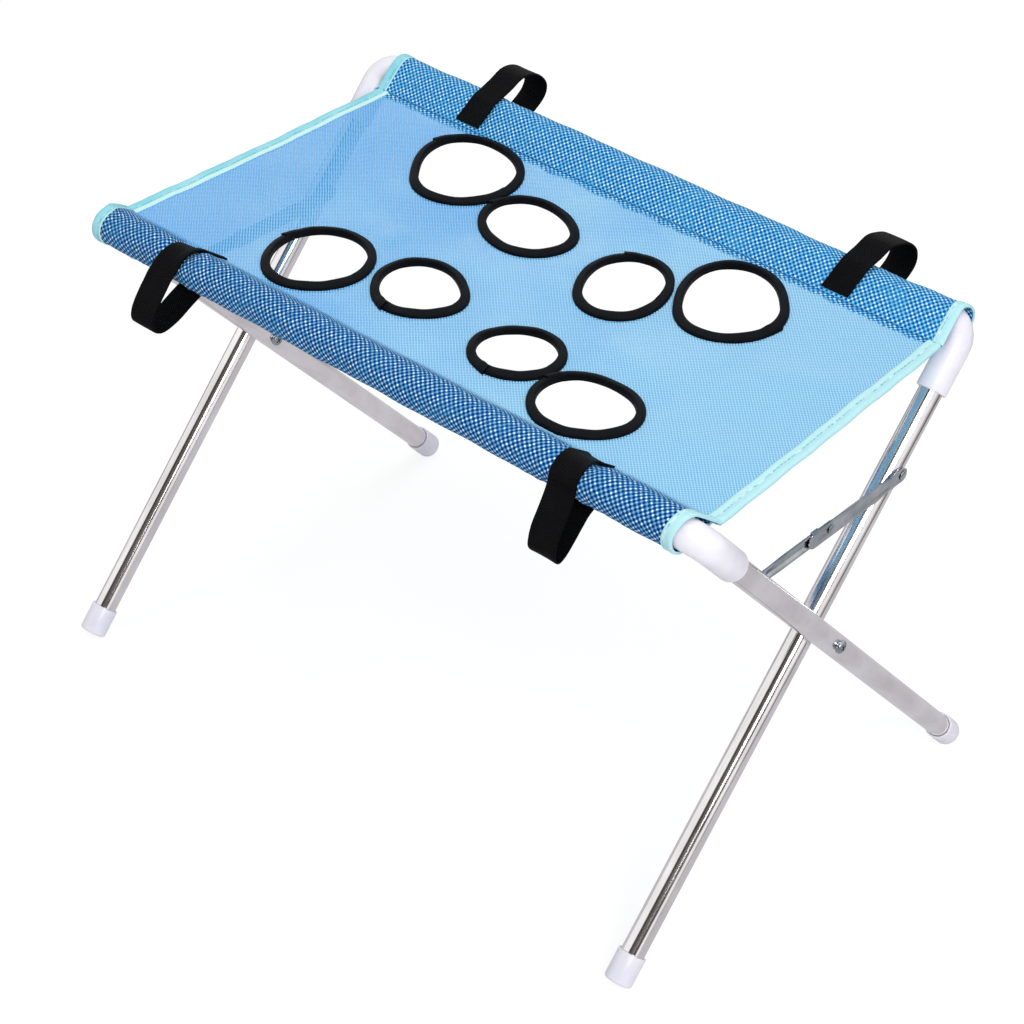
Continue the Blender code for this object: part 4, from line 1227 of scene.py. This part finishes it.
TAPES = [hole_tape(hole) for hole in LEG_HOLES]
print("tapes", len(TAPES))

# %% [markdown]
# The cyan binding is the same strip everywhere: a fold at the raw edge, a groove where it is sewn, and a
# flatter inner half. On the sling's short edges it is folded over both faces.

# %% Bound edges of the sling
UPPER_BINDING = (  # in from the edge and up from the middle of the cloth, in mm
    (0.0, 0.0), (0.1, 1.1), (0.8, 1.8), (2.2, 2.1), (4.0, 1.95), (5.5, 1.45), (6.1, 1.3), (6.7, 1.45),
    (8.4, 1.8), (10.4, 1.6), (11.7, 1.15), (12.0, 0.75),
)
BINDING_STATIONS = 60


def edge_binding(end, label):
    upper = np.array(UPPER_BINDING) / 1000
    lower = upper[1:][::-1] * (1, -1)
    profile = np.vstack([upper, lower])
    near, far = panel_corner(end, -1), panel_corner(end, 1)
    inset_map = np.append(profile[:, 0], profile[0, 0])
    rings = []
    shares = np.linspace(0, 1, BINDING_STATIONS)
    for share in shares:
        edge = near + (far - near) * share
        x = edge[0] - end * profile[:, 0] + 0.0003 * math.sin(share * 37)
        height = sling_height(x, np.full(len(x), edge[1]))
        puff = 1 + 0.07 * math.sin(share * 95) + 0.05 * math.sin(share * 51)
        rings.append(np.column_stack([x, np.full(len(x), edge[1]), height + profile[:, 1] * puff]))
    along = shares * np.linalg.norm(far - near)
    piece = skin(f"edge_binding_{label}_piece", rings, along, inset_map)
    turn_outwards(piece)
    settle(piece, f"edge_binding_{label}_piece", BINDING, "cyan_binding", math.radians(60))
    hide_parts(f"edge_binding_{label}")
    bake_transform(piece)
    return piece


EDGES = [edge_binding(end, label) for end, label in ((-1, "left"), (1, "right"))]
print("edge bindings", [piece.name for piece in EDGES])

# %% [markdown]
# Round the end of a sleeve the binding follows the sleeve's outline. Where the corner fitting's arm comes
# out, the band stops short of it.

# %% Bound ends of the sleeves
RING_PROFILE = np.array((  # out from the sleeve's cloth and beyond its end, in mm
    (-1.1, 0.9), (0.2, 1.35), (0.8, 1.0), (1.15, 0.0), (1.25, -1.4), (1.15, -2.8), (0.85, -3.9), (0.7, -4.3),
    (0.85, -4.8), (1.1, -5.8), (1.05, -7.2), (0.75, -8.0), (0.25, -8.2), (0.15, -6.0), (0.15, -2.0),
    (0.15, 0.2), (-1.1, 0.25),
)) / 1000


def clear_of_leg(place):
    """Whether a place beside the rail axis lies outside the corner fitting's arm."""
    way = np.array([-math.sin(TILT), -math.cos(TILT)])
    return place @ way < 0 or abs(place[0] * way[1] - place[1] * way[0]) > RELIEF_RADIUS


def sleeve_binding(side, end):
    outline = sleeve_outline(SLEEVE_RADIUS, SEAM_REACH, SEAM_THICKNESS, 60)
    if end == -1:
        stop = next(index for index, place in enumerate(outline) if not clear_of_leg(place))
        outline = outline[:stop]
    normals = side_normals(outline)
    shares = lengths_along(outline) / OUTLINE_LENGTHS[-1]
    rings = []
    for index, (place, normal) in enumerate(zip(outline, normals)):
        puff = 1 + 0.06 * math.sin(index * 1.7)
        out = np.where(RING_PROFILE[:, 0] > 0.5, RING_PROFILE[:, 0] * puff, RING_PROFILE[:, 0])
        spots = place + normal * out[:, None]
        x = end_at(side, end, shares[index]) + end * RING_PROFILE[:, 1]
        spots = spots - normal * slack(side, SLEEVE_ENDS[side][end][1], place[None])[0]
        rings.append(to_row(side, x, spots))
    inset_map = 0.0009 - RING_PROFILE[:, 1]
    name = f"{side}_sleeve_binding_{LABELS[side][end]}"
    piece = skin(f"{name}_piece", rings, lengths_along(outline), np.append(inset_map, inset_map[0]))
    turn_outwards(piece)
    settle(piece, f"{name}_piece", BINDING, "cyan_binding", math.radians(60))
    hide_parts(name)
    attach(piece, f"{side}_frame")
    return piece


RINGS = {side: [sleeve_binding(side, end) for end in (-1, 1)] for side in SIDES}
print("sleeve bindings", sum(len(pieces) for pieces in RINGS.values()))

# %% [markdown]
# A handle is a loop of webbing sewn above and below the seam. It lies on the sleeve, leaves it in a free
# loop and comes back underneath. It is swept as a flat strap with rounded edges, and leans along the rail.

# %% Webbing handles
STRAP_THICKNESS = 0.0017
ASLANT = 0.012  # how far the near left strap starts to one side
HELD_SHARE = 0.35  # the part of a strap's length that lies on its sleeve
STRAP_SECTION = np.array((  # across and out, as shares of half the strap's width and thickness
    (-1.0, 0.0), (-0.985, 0.8), (-0.93, 1.0), (-0.6, 1.0), (-0.2, 0.96), (0.2, 0.96), (0.6, 1.0),
    (0.93, 1.0), (0.985, 0.8), (1.0, 0.0), (0.985, -0.8), (0.93, -1.0), (0.4, -0.96), (-0.4, -0.96),
    (-0.93, -1.0), (-0.985, -0.8),
))


def handle(name):
    side = name.split("_")[0]
    facing = 1 if side == "near" else -1
    centre, lean, leave, _, run = HANDLES[name]
    normals = side_normals(OUTLINE)
    offset = FIT_GAP + STRAP_THICKNESS / 2
    held = OUTLINE + normals * offset
    turns = np.degrees(np.arctan2(held[:, 1], held[:, 0]))
    count = next(index for index, turn in enumerate(turns) if index > 8 and turn <= leave)
    first = next(index for index, length in enumerate(OUTLINE_LENGTHS) if length > 0.002)
    free = [np.array([math.cos(math.radians(turn)), math.sin(math.radians(turn))]) * (SLEEVE_RADIUS + beyond)
            for turn, beyond in run]
    last = OUTLINE[-3] + normals[-3] * offset
    route = smooth_curve(np.vstack([held[first:count], free, last]), 3)
    lengths = lengths_along(route)
    route_normals = side_normals(route)
    around = lengths_along(STRAP_SECTION * (STRAP_HALF, STRAP_THICKNESS / 2), closed=True)
    rings = []
    for place, normal, length in zip(route, route_normals, lengths):
        share = length / lengths[-1]
        aslant = ASLANT * max(0.0, 1 - share / HELD_SHARE) if name == "near_left" else 0.0
        middle = facing * (centre + lean * share + aslant)
        bow = 0.0004 * math.sin(9 * share + centre * 40)
        ring = []
        for across, out in STRAP_SECTION:
            x = middle + across * STRAP_HALF
            spot = place + normal * (out * STRAP_THICKNESS / 2 + bow * (across**2 - 0.4))
            pressed = strap_press(side, x, spot[None])[0] if share < HELD_SHARE else 0.0
            spot = spot - normal * pressed
            ring.append((facing * x, facing * (RAIL_Y - spot[0]), RAIL_Z + spot[1]))
        rings.append(ring)
    piece = skin(f"{side}_handle_{name.split('_')[1]}_piece", rings, lengths, around)
    turn_outwards(piece)
    settle(piece, f"{name.replace('_', '_handle_')}_piece", WEBBING, "black_webbing", math.radians(50))
    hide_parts(name.replace("_", "_handle_"))
    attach(piece, f"{side}_frame")
    return piece


STRAPS = {name: handle(name) for name in HANDLES}
print("handles", [piece.name for piece in STRAPS.values()])

# %% [markdown]
# Each frame's sleeve bindings and handles are gathered into one list of the cloth sewn onto it.

for side in SIDES:
    straps = [piece for name, piece in STRAPS.items() if name.startswith(side)]
    sewn_on = RINGS[side] + straps

# %% [markdown]
# The floor is a wide pale plane. To the camera its unshaded part is pure white, like a catalogue page, and
# the table's shadow stays on it. Polished tubes mirror it too: for their rays it is pale grey with a dark
# band round the table, as a studio floor looks where the light falls off.

# %% Floor
FLOOR_SIZE = 24
FLOOR_DROP = 0.0002
FLOOR_PALE, FLOOR_BAND = (0.61, 0.60, 0.63), (0.17, 0.145, 0.125)  # what the tubes mirror of the floor
bpy.ops.object.select_all(action="DESELECT")
bpy.ops.mesh.primitive_plane_add(size=FLOOR_SIZE, location=(0, 0, -FLOOR_DROP))
floor = bpy.context.object
floor.name = "studio_floor"
floor_material, tree, shader = new_material("studio_floor")
feed(tree, shader, base_color=(0.84, 0.84, 0.84, 1), roughness=0.9, specular_ior_level=0.0)
path = tree.nodes.new("ShaderNodeLightPath")
spot = object_place(tree)
spread = add_node(tree, "ShaderNodeVectorMath", {"operation": "LENGTH"}, [spot], 1)
band = spread.ramp(0.95, 1.15) * (1 - spread.ramp(1.5, 2.1))
mirrored = mix(tree, band, FLOOR_PALE, FLOOR_BAND)
glow = add_node(tree, "ShaderNodeEmission", {}, {"Color": mirrored, "Strength": 1.0})
white = add_node(tree, "ShaderNodeEmission", {}, {"Color": (1, 1, 1, 1), "Strength": 1.0})


def blend_shaders(share, first, second):
    node = tree.nodes.new("ShaderNodeMixShader")
    for socket, value in zip(node.inputs, (share, first, second)):
        if isinstance(value, Field):
            tree.links.new(value.socket, socket)
        else:
            socket.default_value = value
    return Field(node.outputs[0])


lit = Field(shader.outputs[0])
direct = Field(path.outputs["Is Camera Ray"]).math("MAXIMUM", Field(path.outputs["Is Transmission Ray"]))
bleached = tree.nodes.new("ShaderNodeAddShader")
tree.links.new(blend_shaders(0.68, lit, white).socket, bleached.inputs[0])
tree.links.new(add_node(tree, "ShaderNodeEmission", {}, {"Strength": 0.12}).socket, bleached.inputs[1])
seen = blend_shaders(direct, lit, Field(bleached.outputs[0]))
seen = blend_shaders(Field(path.outputs["Is Glossy Ray"]), seen, glow)
tree.links.new(seen.socket, tree.nodes["Material Output"].inputs["Surface"])
floor.data.materials.append(floor_material)
print("floor", floor.name)

# %% [markdown]
# Polished tube shows what stands round it. In the studio the room behind the camera is dark and the walls to
# the left and right are white, so each tube carries a dark stripe between two bright ones. The world has that
# dark patch for glossy rays only.

# %% World
DARK_WAY = Vector((0.39, -0.68, 0.62)).normalized()
ROOM_DARK, ROOM_CORE = (0.05, 0.044, 0.04), (0.13, 0.12, 0.11)
world = bpy.data.worlds.new("studio_world")
bpy.context.scene.world = world
world.use_nodes = True
tree = world.node_tree
background = tree.nodes["Background"]
path = tree.nodes.new("ShaderNodeLightPath")
way = add_node(tree, "ShaderNodeTexCoord", {}, {}, 0)
facing_room = add_node(tree, "ShaderNodeVectorMath", {"operation": "DOT_PRODUCT"}, [way, tuple(DARK_WAY)], 1)
room = facing_room.ramp(math.cos(math.radians(39)), math.cos(math.radians(33)))
glossy = Field(path.outputs["Is Glossy Ray"])
core = facing_room.ramp(math.cos(math.radians(24)), math.cos(math.radians(10)))
dark = mix(tree, core, ROOM_DARK, ROOM_CORE)
shade = mix(tree, room * glossy, (1.0, 1.0, 1.0), dark)
tree.links.new(shade.socket, background.inputs["Color"])
clear = Field(path.outputs["Is Camera Ray"]).math("MAXIMUM", glossy)
strength = 0.5 + clear * 0.5
tree.links.new(strength.socket, background.inputs["Strength"])
print("world ready")

# %% [markdown]
# Two large area lamps light the table. The key stands in front on the right and models the tubes and
# fittings. The one overhead brightens the sling and draws the soft shadow under it.

# %% Lamps
def soft_lamp(name, place, aim, size, power):
    data = bpy.data.lights.new(name, "AREA")
    data.shape = "RECTANGLE"
    data.size, data.size_y = size
    data.energy = power
    lamp = bpy.data.objects.new(name, data)
    bpy.context.collection.objects.link(lamp)
    lamp.location = place
    lamp.rotation_euler = (Vector(aim) - Vector(place)).to_track_quat("-Z", "Y").to_euler()
    return lamp


soft_lamp("key", (2.1, -1.5, 2.3), (0, 0, 0.3), (1.6, 1.6), 52)
soft_lamp("overhead", (-0.3, 0.2, 2.8), (0, 0, 0.2), (1.4, 1.4), 21)

# %% [markdown]
# The camera looks down from the right of the near side, through a long lens, so the table keeps nearly
# parallel edges.

# %% Camera
FOCAL_PIXELS = 2572.2
PICTURE_PIXELS = 1024
SENSOR_WIDTH = 36
CAMERA_PLACE = (1.0976, -1.2664, 1.4538)
CAMERA_RIGHT, CAMERA_BACKWARD = (0.744, 0.6678, 0.0203), (0.5238, -0.6019, 0.6028)
camera_data = bpy.data.cameras.new("camera")
camera_data.sensor_width = SENSOR_WIDTH
camera_data.lens = FOCAL_PIXELS / PICTURE_PIXELS * SENSOR_WIDTH
camera_data.clip_end = 100
camera = bpy.data.objects.new("camera", camera_data)
bpy.context.collection.objects.link(camera)
right = Vector(CAMERA_RIGHT).normalized()
backward = Vector(CAMERA_BACKWARD).normalized()
up = backward.cross(right).normalized()
right = up.cross(backward)
turn = Matrix((right, up, backward)).transposed().to_4x4()
camera.matrix_world = Matrix.Translation(CAMERA_PLACE) @ turn
bpy.context.scene.camera = camera
bpy.context.scene.view_settings.view_transform = "Standard"
print("lens", round(camera_data.lens, 1), "mm")
